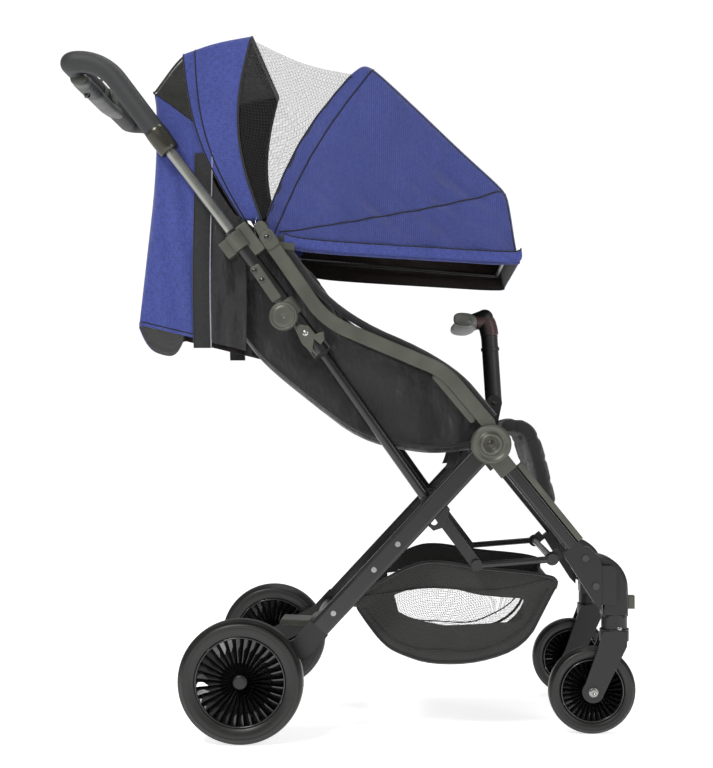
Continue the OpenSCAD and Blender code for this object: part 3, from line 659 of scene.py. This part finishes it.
# rear band, its hoop cover and its zip, fixed to the rails
band_sheet = band.sheet("canopy_rear_band", M["blue_fabric"], nu=50, nv=170)
finish_piece(apply(thicken(band_sheet, CLOTH, M["lining"])), "upper_frame", ("canopy_rear",))
declare(band_sheet)
hoop_band = band.sheet("canopy_rear_hoop_band", M["blue_fabric"], u0=0.0, u1=0.17, nu=10, nv=170, lift=1.3)
finish_piece(apply(thicken(hoop_band, 0.0014)))
for tag, u, radius, mat in (("rear", 0.0, 0.0014, "piping"), ("seam", 0.175, 0.0015, "piping"),
                            ("zip", 0.985, 0.0016, "webbing")):
    line = band.line([u, u], [-1, 1], 0.8, 240)
    finish_piece(tube("canopy_rear_piping_" + tag, line, radius, M[mat], 8))
zip_tape = band.sheet("canopy_zip_tape", M["webbing"], u0=0.93, u1=1.0, nu=6, nv=170, lift=0.9)
finish_piece(apply(thicken(zip_tape, 0.001)))

rear_window = window.sheet("canopy_rear_window", M["rear_film"], nu=24, nv=150)
finish_piece(apply(thicken(rear_window, 0.0010)))
declare(rear_window)
line = window.line([0.995, 0.995], [-1, 1], 0.8, 240)
finish_piece(tube("canopy_window_seam", line, 0.0016, M["piping"], 8))

# back curtain, with a black gusset and a strip of webbing down each side
WEB_X = (-227.0, -202.0)   # rear and front edge of the webbing
edge_v = smoothed(curtain.v_at(np.linspace(0, 1, 90), WEB_X[1]))
back_curtain = curtain.sheet("canopy_curtain", M["blue_fabric"], v0=edge_v, v1=-edge_v, nu=90, nv=190)
finish_piece(apply(thicken(back_curtain, 0.0015, M["lining"])))
declare(back_curtain)
line = curtain.line([0.985, 0.985], [edge_v[-1], -edge_v[-1]], 0.6, 240)
finish_piece(tube("canopy_curtain_hem", line, 0.0012, M["piping"], 8))
for side, s in SIDES:
    v0, v1 = (-edge_v, np.full(90, 0.995)) if s > 0 else (np.full(90, -0.995), edge_v)
    ob = curtain.sheet("canopy_side_gusset_" + side, M["black_sheet"], v0=v0, v1=v1, nu=90, nv=30, lift=-0.8)
    finish_piece(apply(thicken(ob, 0.0012)))
    declare(ob)
    z = np.linspace(842, 562, 60)
    x = np.full(60, sum(WEB_X) / 2) + 1.5 * np.sin(z / 60)
    path = np.column_stack([x, np.full(60, s * (HALF - 1.2)), z])
    finish_piece(strip("canopy_webbing_" + side, path * MM, 0.024, (1, 0, 0), M["webbing"]))
    for k, (dx, mat) in enumerate(((-12.2, "webbing"), (12.2, "edge"))):
        line = (path + [dx, s * 0.6, 0]) * MM
        finish_piece(tube("canopy_webbing_edge_%s_%d" % (side, k), line, 0.0009, M[mat], 8))

# ---------------------------------------------------------------- basket
WINDOW = np.array([(60, 203), (75, 208.5), (90, 212), (120, 212.5), (149, 211), (187, 202), (220, 199),
                   (250, 197.5), (249.5, 171), (242, 164), (181, 160), (133, 158), (100, 165),
                   (67, 175)], float)


def inside_distance(x, z, poly):
    """Signed distance to a closed outline, positive inside."""
    p = np.stack([x, z], -1)
    best = np.full(x.shape, 1e9)
    inside = np.zeros(x.shape, bool)
    for a, b in zip(poly, np.roll(poly, -1, 0)):
        ab = b - a
        share = np.clip(((p - a) @ ab) / (ab @ ab), 0, 1)
        best = np.minimum(best, np.linalg.norm(p - a - share[..., None] * ab, axis=-1))
        crossed = ((a[1] > z) != (b[1] > z)) & (x < (b[0] - a[0]) * (z - a[1]) / (b[1] - a[1] + 1e-12) + a[0])
        inside ^= crossed
    return np.where(inside, best, -best)


basket = Vault(
    ridge=[(2, 186), (16, 164), (44, 127), (70, 113), (114, 99), (186, 101), (253, 126), (281, 181),
           (296, 212)],
    low=[(4, 198), (25, 214), (86, 248), (124, 253), (184, 242), (264, 235), (292, 229), (294, 227),
         (297, 224)],
    half=154, radius=16, sag=-5, belly=5)
basket.folds = lambda x, z: 2.0 * np.sin((x + 0.25 * z) / 52 * 2 * np.pi) * np.clip((190 - z) / 60, 0, 1)
basket_sheet = basket.sheet("basket_bag", M["basket_net"], nu=110, nv=170)
# the window is low in the near wall, and deeper and longer in the far wall, inside the same seams
FAR_WINDOW = np.where(WINDOW[:, 1:] < 190, WINDOW - [0, 46], WINDOW) + (WINDOW - WINDOW.mean(0)) * [0.2, 0]
FAR_WINDOW[:, 0] = np.clip(FAR_WINDOW[:, 0], 34, 276)
co = points_of(basket_sheet)
x, z = co[:, 0] / MM, co[:, 2] / MM
opening = np.where(co[:, 1] < 0, inside_distance(x, z, WINDOW), inside_distance(x, z, FAR_WINDOW))
opening = np.where(np.abs(co[:, 1]) > 0.135, opening, -10)
attr = basket_sheet.data.attributes.new("window", "FLOAT", "POINT")
attr.data.foreach_set("value", opening.astype(np.float32))
BASKET_SQUASH = ("frame_fold", (0.776, 0, 0.63), (0.3185, 0, 0.2768), 0.34)
finish_piece(basket_sheet, "chassis", ("basket",), None, BASKET_SQUASH)
declare(basket_sheet)


def basket_trim(name, u, v, lift, radius, flat=1.0):
    """Hem or piping along the basket, which moves with the chassis."""
    ob = tube(name, basket.line(u, v, lift, 120), radius, M["webbing"], 10, flat)
    return finish_piece(ob, "chassis", (), None, BASKET_SQUASH)


waver = 0.008 * np.sin(np.linspace(0, 19, 60))
for side, s in SIDES:
    basket_trim("basket_top_hem_" + side, [0, 1], [s, s], 0.5, 0.0042, flat=0.55)
    basket_trim("basket_lower_piping_" + side, [0.02, 0.99], [s * 0.44, s * 0.44], 0.5, 0.0022)
    basket_trim("basket_inner_seam_" + side, np.linspace(0.06, 0.95, 60), s * (0.515 + waver), 0.3, 0.0011)
    basket_trim("basket_band_seam_" + side, np.linspace(0.05, 0.97, 60), s * np.full(60, 0.86), 0.3, 0.0012)
for k, u in enumerate((0.0, 1.0)):
    basket_trim("basket_end_hem_%d" % k, [u, u], [-1, 1], 0.0, 0.0028)

# ---------------------------------------------------------------- seat
PAD = M["black_fabric"]


def pad_from_outline(name, outline, half, step=7.0):
    """Closed solid from a side outline, ready to be remeshed and inflated. Points in mm."""
    n = len(outline)
    ys = np.linspace(-half, half, max(3, int(2 * half / step)))
    verts, faces = [], []
    for y in ys:
        verts += [(x * MM, y * MM, z * MM) for x, z in outline]
    for i in range(len(ys) - 1):
        for j in range(n):
            faces.append((i * n + j, i * n + (j + 1) % n, (i + 1) * n + (j + 1) % n, (i + 1) * n + j))
    faces.append(tuple(range(n))[::-1])
    faces.append(tuple(range((len(ys) - 1) * n, len(ys) * n)))
    return mesh_object(name, verts, faces, PAD)


def remesh(ob, voxel):
    m = ob.modifiers.new("remesh", "REMESH")
    m.mode = "VOXEL"
    m.voxel_size = voxel
    m.use_smooth_shade = True
    return apply(ob)


def inflate(ob, voxel, pressure, cap, frames=20):
    """Swells the pad as stuffed cloth, and limits how far any point may move."""
    remesh(ob, voxel)
    start = points_of(ob)
    c = ob.modifiers.new("cloth", "CLOTH")
    c.settings.use_pressure = True
    c.settings.uniform_pressure_force = pressure
    c.settings.effector_weights.gravity = 0
    c.settings.quality = 5
    c.settings.mass = 0.3
    scene.frame_start, scene.frame_end = 1, frames
    for f in range(1, frames + 1):
        scene.frame_set(f)
    apply(ob)
    scene.frame_set(1)
    d = points_of(ob) - start
    k = np.minimum(1.0, cap / np.maximum(np.linalg.norm(d, axis=1), 1e-9))
    move_points(ob, start + d * k[:, None])
    m = ob.modifiers.new("relax", "SMOOTH")
    m.iterations = 4
    m.factor = 0.5
    subdivide(ob)
    apply(ob)
    ob.data.polygons.foreach_set("use_smooth", [True] * len(ob.data.polygons))
    ob.data.materials.clear()
    ob.data.materials.append(PAD)
    return ob


def channels(ob, distance, depth, width):
    """Presses sewn channels into a pad. distance gives each vertex's distance from the nearest seam."""
    co = points_of(ob)
    normals = np.array([v.normal for v in ob.data.vertices])
    move_points(ob, co - normals * (depth * np.exp(-(distance(co) / width) ** 2))[:, None])
    ob.data.update()
    return ob


def bar_outline(points, width, ends=6):
    """Side outline of a bar of that width along the points, with round ends. In mm."""
    p, r = curve3(points, 24, 2), width / 2
    t = np.gradient(p, axis=0)
    t /= np.linalg.norm(t, axis=1)[:, None]
    n = np.column_stack([-t[:, 1], t[:, 0]])
    turn = np.linspace(0, math.pi, ends + 2)[1:-1]
    caps = []
    for middle, side in ((p[-1], n[-1]), (p[0], -n[0])):
        first = math.atan2(side[1], side[0])
        caps.append([middle + r * np.array([math.cos(first - q), math.sin(first - q)]) for q in turn])
    return np.vstack([p + n * r, caps[0], (p - n * r)[::-1], caps[1]])


H = np.array([199.0, 424.0])             # the fold hub, in side view
GRIP_END = np.array([-266.8, 853.3])     # lower end of each side of the handle's grip

seat_outline = H + np.array([(-186, 18), (-116, 4), (-34, 6), (-16, 20), (14, 20), (21, 20), (10, 40),
                             (-2, 42), (-79, 36), (-150, 46), (-172, 42)])


def seat_seams(c):
    """Two seams from front to back and one across."""
    return np.minimum(np.abs(np.abs(c[:, 1]) - 0.075), np.abs(c[:, 0] - 0.095))


seat = inflate(pad_from_outline("seat_cushion", seat_outline, 146), 0.006, 4.0, 0.006)
channels(seat, seat_seams, 0.003, 0.005)
finish_piece(seat, "upper_frame", ("seat_pan",), None,
             ("frame_fold", (0, 0, 1), (0, 0, 0.468), 0.35))

# backrest with its side wings
bight = H + np.array([-185, 38])
back_top = H + [-430, 300]
back_line = [bight + [0, 2], bight + [-130, 116], back_top]
back = inflate(pad_from_outline("backrest_pad", bar_outline(back_line, 26), 146), 0.006, 4.0, 0.006)


def back_seams(c):
    """Three rows across the middle of the backrest, and one seam up each side."""
    a, b = bight * MM, back_top * MM
    d = (b - a) / np.linalg.norm(b - a)
    up = (c[:, [0, 2]] - a) @ d
    rows = np.min([np.abs(up - k) for k in (0.07, 0.15, 0.23)], axis=0)
    sides = np.abs(np.abs(c[:, 1]) - 0.1)
    return np.where(np.abs(c[:, 1]) < 0.1, np.minimum(rows, sides), sides)


channels(back, back_seams, 0.003, 0.005)
finish_piece(back, "back", ("backrest",))
wing_outline = np.vstack([
    bight + [-6, 20], bight + [-66, 76], bight + [-124, 132], H + [-422, 330], H + [-399, 360],
    H + [-331, 316], H + [-290, 279], H + [-256, 258], H + [-234, 228], H + [-224, 203],
    H + [-216, 188], H + [-192, 135], H + [-175, 82]])
for side, s in SIDES:
    ob = pad_from_outline("backrest_wing_" + side, wing_outline, 5)
    move_points(ob, points_of(ob) + [0, s * 0.143, 0])
    inflate(ob, 0.005, 3.0, 0.006)
    finish_piece(ob, "back")

# leg rest, quilted across
rest_line = [H + [24, 29], H + [54, 27], H + [70, -10], H + [86, -76], H + [91, -92]]
rest = inflate(pad_from_outline("leg_rest_pad", bar_outline(rest_line, 19), 117), 0.005, 4.0, 0.005)
rest_path = curve3(rest_line, 200, 2) * MM
rest_run = np.r_[0, np.cumsum(np.linalg.norm(np.diff(rest_path, axis=0), axis=1))]


def rest_seams(c):
    """A seam across every 34 mm along the leg rest."""
    nearest = np.argmin(((c[:, None, [0, 2]] - rest_path[None]) ** 2).sum(2), axis=1)
    return np.abs((rest_run[nearest] % 0.034) - 0.017)


channels(rest, rest_seams, 0.0016, 0.0035)
finish_piece(rest, "calf_pad", ("leg_rest",))

# side skirts: sheet hung from each rail down to the seat
rail = np.array([(-152, 738), (-112, 700), (-37, 590), (30, 559), (133, 517), (170, 480), (196, 445)], float)
seat_edge = np.array([(-158, 586), (-129, 549), (-60, 493), (9, 440), (83, 423), (130, 420),
                      (192, 430)], float)
strap = np.array([(150, 146, 430), (149, 147, 415), (146, 147.5, 400), (141, 147, 388)], float)
top_line, low_line = curve3(rail, 80, 2), curve3(seat_edge, 80, 2)
pad_line = curve3([(-105, 722), (-27, 611), (140, 540), (204, 463)], 80, 3)
for side, s in SIDES:
    skirt_squash = ("frame_fold", (0, 1, 0), (0, s * 0.184, 0), 0.2)
    rows = []
    for k in np.linspace(0, 1, 40):
        q = lerp(top_line, low_line, k)
        y = 184 - 10 * math.sin(math.pi * k) - 22 * k ** 2
        fold = 2.5 * np.sin(q[:, 0] / 38 + k * 4) * math.sin(math.pi * k)
        fold = fold + 1.5 * np.sin(q[:, 0] / 17 - k * 6) * k ** 2
        rows.append(np.column_stack([q[:, 0], s * (y + fold), q[:, 1]]))
    bottom = rows[-1]
    for dy, dz in ((-6, -7), (-14, -10), (-28, -9), (-60, -7)):
        rows.append(bottom + np.array([0, s * dy, dz]))
    ob = grid("seat_skirt_" + side, np.array(rows) * MM, M["black_sheet"])
    finish_piece(apply(thicken(ob, CLOTH, offset=0)), squash=skirt_squash)
    declare(ob)
    ob = tube("seat_skirt_piping_" + side, (bottom + [0, s * 0.8, -1]) * MM, 0.0022, M["webbing"], 8)
    finish_piece(ob, squash=skirt_squash)
    line = np.column_stack([pad_line[:, 0], np.full(80, s * 187.0), pad_line[:, 1]])
    ob = tube("rail_padding_" + side, line * MM, 0.0055, M["black_fabric"], 14)
    finish_piece(ob)
    line = curve3(strap * [1, s, 1], 30, 2) * MM
    finish_piece(strip("under_seat_strap_" + side, line, 0.015, (1, 0, 0.1), M["webbing"]))

# ---------------------------------------------------------------- bumper bar
BUMPER_HALF = 118
BUMPER_TILT = math.radians(-4)
middle = H + np.array([-30, 185])
a = np.linspace(0, 2 * math.pi, 40, endpoint=False)
ca, sa = np.cos(a), np.sin(a)
cos_t, sin_t = math.cos(BUMPER_TILT), math.sin(BUMPER_TILT)
bar = []
for y in np.linspace(-BUMPER_HALF, BUMPER_HALF, 61):
    e = abs(y) / BUMPER_HALF
    k = 1 - 0.10 * e ** 6
    x = np.sign(ca) * np.abs(ca) ** 0.75 * 17.5 * k
    z = np.sign(sa) * np.abs(sa) ** 0.75 * 10.4 * k
    forward = middle[0] - 6 * e ** 2 + x * cos_t - z * sin_t
    bar.append(np.column_stack([forward, np.full(40, y), middle[1] + x * sin_t + z * cos_t]))
closing = ((119.5, 0.86), (119.9, 0.7), (118.6, 0.66), (118.6, 0.3), (118.6, 0.02))
ends = []
for ring, sign in ((bar[0], -1), (bar[-1], 1)):
    centre = ring.mean(0)
    rows = [centre + (ring - centre) * k for _, k in closing]
    for q, (y, _) in zip(rows, closing):
        q[:, 1] = sign * y
    ends.append(rows)
bumper = grid("bumper_grip", np.array(ends[0][::-1] + bar + ends[1]) * MM, M["bumper_skin"], close_v=True)
finish_piece(bumper, "bumper", ("bumper_bar",))
elbow_line = curve3(H + np.array([(-14, 190), (2, 193), (7, 178), (8, 168)]), 40, 2)
elbow_line = np.column_stack([elbow_line[:, 0], np.zeros(40), elbow_line[:, 1]])
radii = np.r_[0.0125, np.full(38, 0.0136), 0.0125]
finish_piece(tube("bumper_elbow_cover", elbow_line * MM, radii, M["elbow"], 36), "bumper")
joints = {j["name"]: j for j in frame["record"]["behaviour"]["joints"]}
pivot = joints["bumper_swing"]["pos_m"]
line = np.array([[pivot[0], y, pivot[2]] for y in (-0.0195, -0.019, 0.019, 0.0195)])
finish_piece(tube("bumper_pin", line, [0.0035, 0.0039, 0.0039, 0.0035], M["black_plastic"], 24))


# ---------------------------------------------------------------- tyres
def lathe(name, profile, centre, material, side=1, steps=96):
    """Turns a closed profile of (radius, offset) in mm about the Y axis through centre."""
    rows = []
    for q in np.linspace(0, 2 * math.pi, steps, endpoint=False):
        cq, sq = math.cos(q), math.sin(q)
        rows.append([(centre[0] + r * cq, centre[1] + o * side, centre[2] + r * sq) for r, o in profile])
    return grid(name, np.array(rows) * MM, material, close_u=True, close_v=True, flip=side > 0)


def wheel_size(node):
    """Centre, radius and half width of a wheel's node, in mm."""
    lo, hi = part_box(node)
    centre = [(a + b) / 2 / MM for a, b in zip(lo, hi)]
    return centre, (hi[2] - lo[2]) / 2 / MM, (hi[1] - lo[1]) / 2 / MM


def tyre_profile(r_out, r_in, half):
    """Crowned tread, rounded shoulders and a lip on each side wall."""
    p = []
    for q in np.linspace(-1, 1, 15):
        p.append((r_out - (r_out * 0.035) * abs(q) ** 3 - (2.2 if abs(q) > 0.99 else 0), q * half * 0.78))
    wall = ((0.945, 0.86), (0.915, 0.94), (0.905, 0.97), (0.895, 0.975), (0.887, 0.95), (0.878, 0.955),
            (0.85, 0.97), (0.80, 0.93))
    right = [(r_out * r, half * o) for r, o in wall] + [(r_in * 1.03, half * 0.80), (r_in, half * 0.72)]
    return p + right + [(r_in, half * 0.3), (r_in, -half * 0.3)] + [(r, -o) for r, o in right[::-1]]


WHEELS = [(side, s, end) for side, s in SIDES for end in ("rear", "front")]
for side, s, end in WHEELS:
    centre, r_out, half = wheel_size("%s_tyre_%s" % (end, side))
    r_in = wheel_size("%s_rim_%s" % (end, side))[1] + 0.2
    profile = tyre_profile(r_out, r_in, half)
    ob = lathe("%s_tyre_tread_%s" % (end, side), profile, centre, M["tyre_rubber"])
    finish_piece(ob, "%s_wheel_%s" % (end, side), ("%s_tyre_%s" % (end, side),))


# ---------------------------------------------------------------- wheel discs
def blades(name, centre, r0, r1, depth, count, material):
    """Radial blades on both faces of a disc, each one a wedge tilted about its own radius."""
    verts, faces = [], []
    radii = np.linspace(r0, r1, 4)
    for face in (-1, 1):
        for k in range(count):
            a = 2 * math.pi * k / count + (0.0 if face < 0 else math.pi / count)
            ca, sa = math.cos(a), math.sin(a)
            base = len(verts)
            for r in radii:
                w = 2 * math.pi * r / count * 0.47
                for t, d in ((-w, 0.30), (w, 0.98), (w * 0.98, 0.25)):
                    x, z = centre[0] + r * ca - t * sa, centre[2] + r * sa + t * ca
                    verts.append((x * MM, (centre[1] + face * depth * d) * MM, z * MM))
            loops = [[base + i * 3 + j, base + i * 3 + (j + 1) % 3, base + i * 3 + 3 + (j + 1) % 3,
                      base + i * 3 + 3 + j] for i in range(len(radii) - 1) for j in range(3)]
            for i, order in ((0, (0, 2, 1)), (len(radii) - 1, (0, 1, 2))):
                loops.append([base + i * 3 + j for j in order])
            faces += [q if face > 0 else q[::-1] for q in loops]
    return mesh_object(name, verts, faces, material, smooth=False)


for side, s, end in WHEELS:
    node = "%s_rim_%s" % (end, side)
    centre, R, half = wheel_size(node)
    body, tail = "%s_wheel_%s" % (end, side), (end, side)
    bore = 6.2 if end == "rear" else 4.4
    disc = [(bore, 3.0), (R * 0.14, 3.0), (R * 0.16, 1.2), (R - 3, 1.2), (R - 2.4, half * 0.86),
            (R - 1.2, half * 0.97), (R, half * 0.9)]
    disc += [(r, -o) for r, o in disc[::-1]]
    finish_piece(lathe("%s_wheel_disc_%s" % tail, disc, centre, M["rim_grey"]), body, (node,))
    ob = blades("%s_wheel_blades_%s" % tail, centre, R * 0.15, R - 2.6, half * 0.84, 32, M["rim_grey"])
    finish_piece(ob, body)
    cap = [(bore, 2.9), (bore, half * 0.9), (R * 0.13, half * 0.88), (R * 0.17, half * 0.7), (R * 0.17, 2.9)]
    for face in (-1, 1):
        name = "%s_wheel_hub_%s_%s" % (end, side, "outer" if face == s else "inner")
        ob = lathe(name, [(r, o * face) for r, o in cap], centre, M["black_plastic"])
        finish_piece(ob, body)


# ---------------------------------------------------------------- fittings
def button(name, x, z, y, profile, material, body):
    """A turned head facing out from the side. profile is (radius, height) from its middle out, in mm."""
    s = 1 if y > 0 else -1
    profile = list(profile)
    head = [(0.02, profile[0][1])] + profile + [(profile[-1][0], -0.4), (0.02, -0.4)]
    ob = lathe(name, [(r, h * s) for r, h in head], (x, y, z), M[material], steps=48)
    return finish_piece(ob, body)


def dome(r, h, steps=6):
    return [(r * math.sin(q) * 1.0, h * math.cos(q)) for q in np.linspace(0.12, math.pi / 2, steps)]


def recessed(r, h):
    """Screw head with a socket in its middle."""
    crown = [(r * k, h * math.sqrt(max(0.0, 1 - (k * 0.9) ** 2))) for k in (0.62, 0.8, 0.93, 1.0)]
    return [(r * 0.30, h * 0.45), (r * 0.42, h * 0.5), (r * 0.46, h)] + crown


def plate(name, outline, y, thick, material, body, crown=0.6):
    """Flat plate with a softened rim. outline is in mm in side view, in order."""
    o = np.asarray(outline, float)
    s = 1 if y > 0 else -1
    mid = o.mean(0)
    inset = mid + (o - mid) * (1 - crown / np.maximum(np.linalg.norm(o - mid, axis=1), 1)[:, None])
    n = len(o)
    rows = []
    for q, h in ((o, 0.0), (o, thick - crown), (inset, thick)):
        rows.append(np.column_stack([q[:, 0], np.full(n, y + s * h), q[:, 1]]))
    faces = [(i * n + j, i * n + (j + 1) % n, (i + 1) * n + (j + 1) % n, (i + 1) * n + j)
             for i in range(2) for j in range(n)]
    faces += [tuple(range(n))[::-1], tuple(range(2 * n, 3 * n))]
    ob = mesh_object(name, np.vstack(rows) * MM, faces, M[material], smooth=False)
    bm = bmesh.new()
    bm.from_mesh(ob.data)
    bmesh.ops.recalc_face_normals(bm, faces=bm.faces)
    bm.to_mesh(ob.data)
    bm.free()
    return finish_piece(ob, body)


def slab(a, b, width, corner_radius):
    """Outline of a bar from a to b with rounded corners."""
    a, b = np.asarray(a, float), np.asarray(b, float)
    d = (b - a) / np.linalg.norm(b - a)
    n = np.array([-d[1], d[0]])
    out = []
    for c, (sx, sy) in ((b, (1, 1)), (b, (1, -1)), (a, (-1, -1)), (a, (-1, 1))):
        corner = c + n * width / 2 * sy
        centre = corner - d * sx * corner_radius - n * sy * corner_radius
        a0 = math.atan2(sy, sx)
        for q in np.linspace(math.pi / 4, -math.pi / 4, 5):
            out.append(centre + corner_radius * (d * math.cos(a0 + q) + n * math.sin(a0 + q)))
    return np.array(out)


PUSH = np.array([math.cos(math.radians(-53)), math.sin(math.radians(-53))])
HUB_RINGS = ((3, 0.5), (11.5, 0.5), (12.2, 1.5), (14.6, 1.5), (15.4, 0.4), (21.5, 0.4), (22.4, 1.9),
             (25.6, 2.2), (27.6, 1.2))
KNOB_RINGS = ((4, 1.2), (12.5, 1.0), (15.4, 0.9), (16.2, 0.2), (16.9, 1.1), (18.6, 1.2), (19.8, 0.4))
# name, the two ends, width, corner radius, distance from the middle and thickness
RAIL_PLATES = (("slide_plate_", (-137.5, 676.5), (-104.0, 628.0), 15.5, 3, 215.5, 2.4),
               ("collar_step_", (-159.0, 735.0), (-129.5, 696.5), 20, 2.5, 198, 15),
               ("rail_end_plate_", (-124.0, 725.5), (-109.0, 704.0), 22, 6, 209.5, 3.0),
               ("visor_arm_cover_", (-112.0, 710.0), (-82.0, 706.5), 11, 2, 189.5, 3.2))
RIVETS = (("a", -136.3, 669.1, 217.7, 4.3), ("b", -125.6, 655.8, 217.7, 4.3),
          ("c", -119.2, 717.5, 212.3, 4.6))
CLEVIS = [(-80, 589), (-74, 594), (-60, 592), (-50, 580), (-38.5, 584), (-37, 573), (-43, 565), (-52, 573),
          (-55, 553), (-69, 566)]
# distance past the grip's end and radius of the collar there
COLLAR = ((-23, 14.6), (-22.4, 15.3), (-18, 15.8), (-4, 15.8), (10, 15.2), (15.2, 14.4), (16, 12.5))
for side, s in SIDES:
    button("hub_rings_" + side, H[0], H[1], s * 215.0, HUB_RINGS, "grey_plastic", "upper_frame")
    button("hub_dimple_" + side, H[0], H[1], s * 215.5, dome(5.5, 1.6), "dark_metal", "upper_frame")
    button("knob_rings_" + side, H[0] - 294, H[1] + 181, s * 224.5, KNOB_RINGS, "grey_plastic", "upper_frame")
    for name, a, b, width, corner, y, thick in RAIL_PLATES:
        plate(name + side, slab(a, b, width, corner), s * y, thick, "grey_plastic", "upper_frame")
    for tag, x, z, y, r in RIVETS:
        button("rivet_%s_%s" % (tag, side), x, z, s * y, dome(r, 1.9), "black_gloss", "upper_frame")
    plate("clevis_plate_" + side, CLEVIS, s * 216.0, 2.2, "grey_plastic", "sliders")
    button("clevis_bolt_" + side, -64.4, 581.5, s * 218.0, recessed(4.6, 2.6), "bolt_steel", "sliders")
    line = np.array([[GRIP_END[0] + PUSH[0] * d, s * 205.0, GRIP_END[1] + PUSH[1] * d] for d, _ in COLLAR])
    radii = np.array([r for _, r in COLLAR])
    ob = tube("grip_collar_" + side, line * MM, radii * MM, M["dark_metal"], 40)
    finish_piece(ob, "handle")

# housing that hangs under the handle's crossbar, with its ribs and knob
BAR = np.array([-402.8, 969.0])
ys = np.r_[-168.5, -168, -166, np.linspace(-160, 100, 131), 106, 110]
radii = np.interp(ys, [-168.5, -168, -166, -160, 60, 100, 110], [1.0, 7.2, 9.0, 9.6, 9.8, 6.0, 1.0])
radii = radii + 0.7 * np.sin(ys / 9 * 2 * np.pi) * ((ys > -146) & (ys < -72))
line = np.column_stack([BAR[0] + 5 + np.clip(ys - 40, 0, 60) * -0.02, ys,
                        BAR[1] - 14.5 + np.clip(ys - 20, 0, 90) * 0.08])
ob = tube("handle_console", line * MM, radii * MM, M["bumper_skin"], 40, flat=1.42)
finish_piece(ob, "handle")
line = np.array([[BAR[0] + 4, -112, BAR[1] - h] for h in (20, 27, 29.5, 30.2)])
ob = tube("console_knob", line * MM, np.array([4.4, 4.6, 3.8, 1.5]) * MM, M["black_gloss"], 20)
finish_piece(ob, "handle")

# rounded shell over each caster housing, the bolts of the front forks, and the zip pullers
q = np.radians(np.linspace(92, 2, 14))
shell_arc = np.column_stack([352.5 + 47.5 * np.cos(q), 214 + 49 * np.sin(q)])
shell_foot = [(400.5, 205), (400.5, 174), (397, 171), (366, 171), (363.5, 174), (363.5, 232), (352, 250)]
for side, s in SIDES:
    plate("caster_shell_" + side, np.vstack([shell_arc, shell_foot]), s * 129.8, 38.4, "black_plastic",
          "chassis", crown=5.0)
    button("fork_bolt_" + side, 387.3, 155.2, s * 167.2, dome(3.8, 2.2), "bolt_steel", "caster_" + side)
    lo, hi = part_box("front_axle_" + side)
    axle_end = (hi if s > 0 else lo)[1] / MM
    button("axle_bolt_" + side, 349.0, 64.0, axle_end, recessed(6.4, 2.2), "bolt_steel", "caster_" + side)
for side, s in SIDES:
    line = np.array([(-136.5, s * 192.0, 750), (-137.2, s * 193.5, 744), (-138.5, s * 194.2, 735),
                     (-139, s * 194.0, 728), (-139.2, s * 193.6, 725)])
    radii = np.interp(np.linspace(0, 1, 24), [0, 0.15, 0.5, 0.85, 1], [1.0, 1.8, 3.0, 4.2, 2.0])
    ob = tube("zip_puller_" + side, resample(line, 24) * MM, radii * MM, M["bolt_steel"], 16, flat=0.45)
    finish_piece(ob)

# ---------------------------------------------------------------- stage, camera, light
floor = mesh_object("floor", [(-30, -30, 0), (30, -30, 0), (30, 30, 0), (-30, 30, 0)], [(0, 1, 2, 3)],
                    M["floor_white"], uv=[(0, 0)] * 4, smooth=False)
shine = floor.data.materials[0].node_tree.nodes["Principled BSDF"]
shine.inputs["Emission Color"].default_value = (1, 1, 1, 1)
shine.inputs["Emission Strength"].default_value = 0.72

# the backdrop is white to the camera and gives a softer light to the object
BACKDROP_SEEN, BACKDROP_LIGHT = 1.05, 0.36
scene.view_settings.view_transform = "Standard"
world = bpy.data.worlds.new("studio")
scene.world = world
world.use_nodes = True
wn = world.node_tree
backdrop = wn.nodes["Background"]
backdrop.inputs[0].default_value = (1, 1, 1, 1)
seen = wn.nodes.new("ShaderNodeLightPath")
strength = wn.nodes.new("ShaderNodeMapRange")
strength.inputs["To Min"].default_value = BACKDROP_LIGHT
strength.inputs["To Max"].default_value = BACKDROP_SEEN
wn.links.new(seen.outputs["Is Camera Ray"], strength.inputs["Value"])
wn.links.new(strength.outputs[0], backdrop.inputs[1])


def lamp(name, place, target, size, power):
    """Area lamp of that size in metres and power in watts, turned to the target."""
    data = bpy.data.lights.new(name, "AREA")
    data.shape = "RECTANGLE"
    data.size, data.size_y = size
    data.energy = power
    ob = bpy.data.objects.new(name, data)
    scene.collection.objects.link(ob)
    ob.location = place
    ob.rotation_mode = "QUATERNION"
    ob.rotation_quaternion = (Vector(target) - Vector(place)).to_track_quat("-Z", "Y")


lamp("key", (-1.1, -1.9, 2.5), (0, 0, 0.5), (0.7, 0.7), 52)
lamp("fill", (2.1, -1.7, 1.2), (0.1, 0, 0.5), (0.5, 1.4), 12)
lamp("top", (0.2, 0.4, 2.8), (0, 0, 0.5), (1.4, 1.4), 22)

# level camera square to the side; its shift frames the object off the middle without tilting it
camera = bpy.data.cameras.new("camera")
camera.lens, camera.sensor_width = 65.25, 36
camera.shift_x, camera.shift_y = -0.08789, 0.05599
cam = bpy.data.objects.new("camera", camera)
scene.collection.objects.link(cam)
cam.location = (0.1035, -2.188, 0.4485)
cam.rotation_mode = "QUATERNION"
cam.rotation_quaternion = Vector((0, 1, 0)).to_track_quat("-Z", "Y")
scene.camera = cam
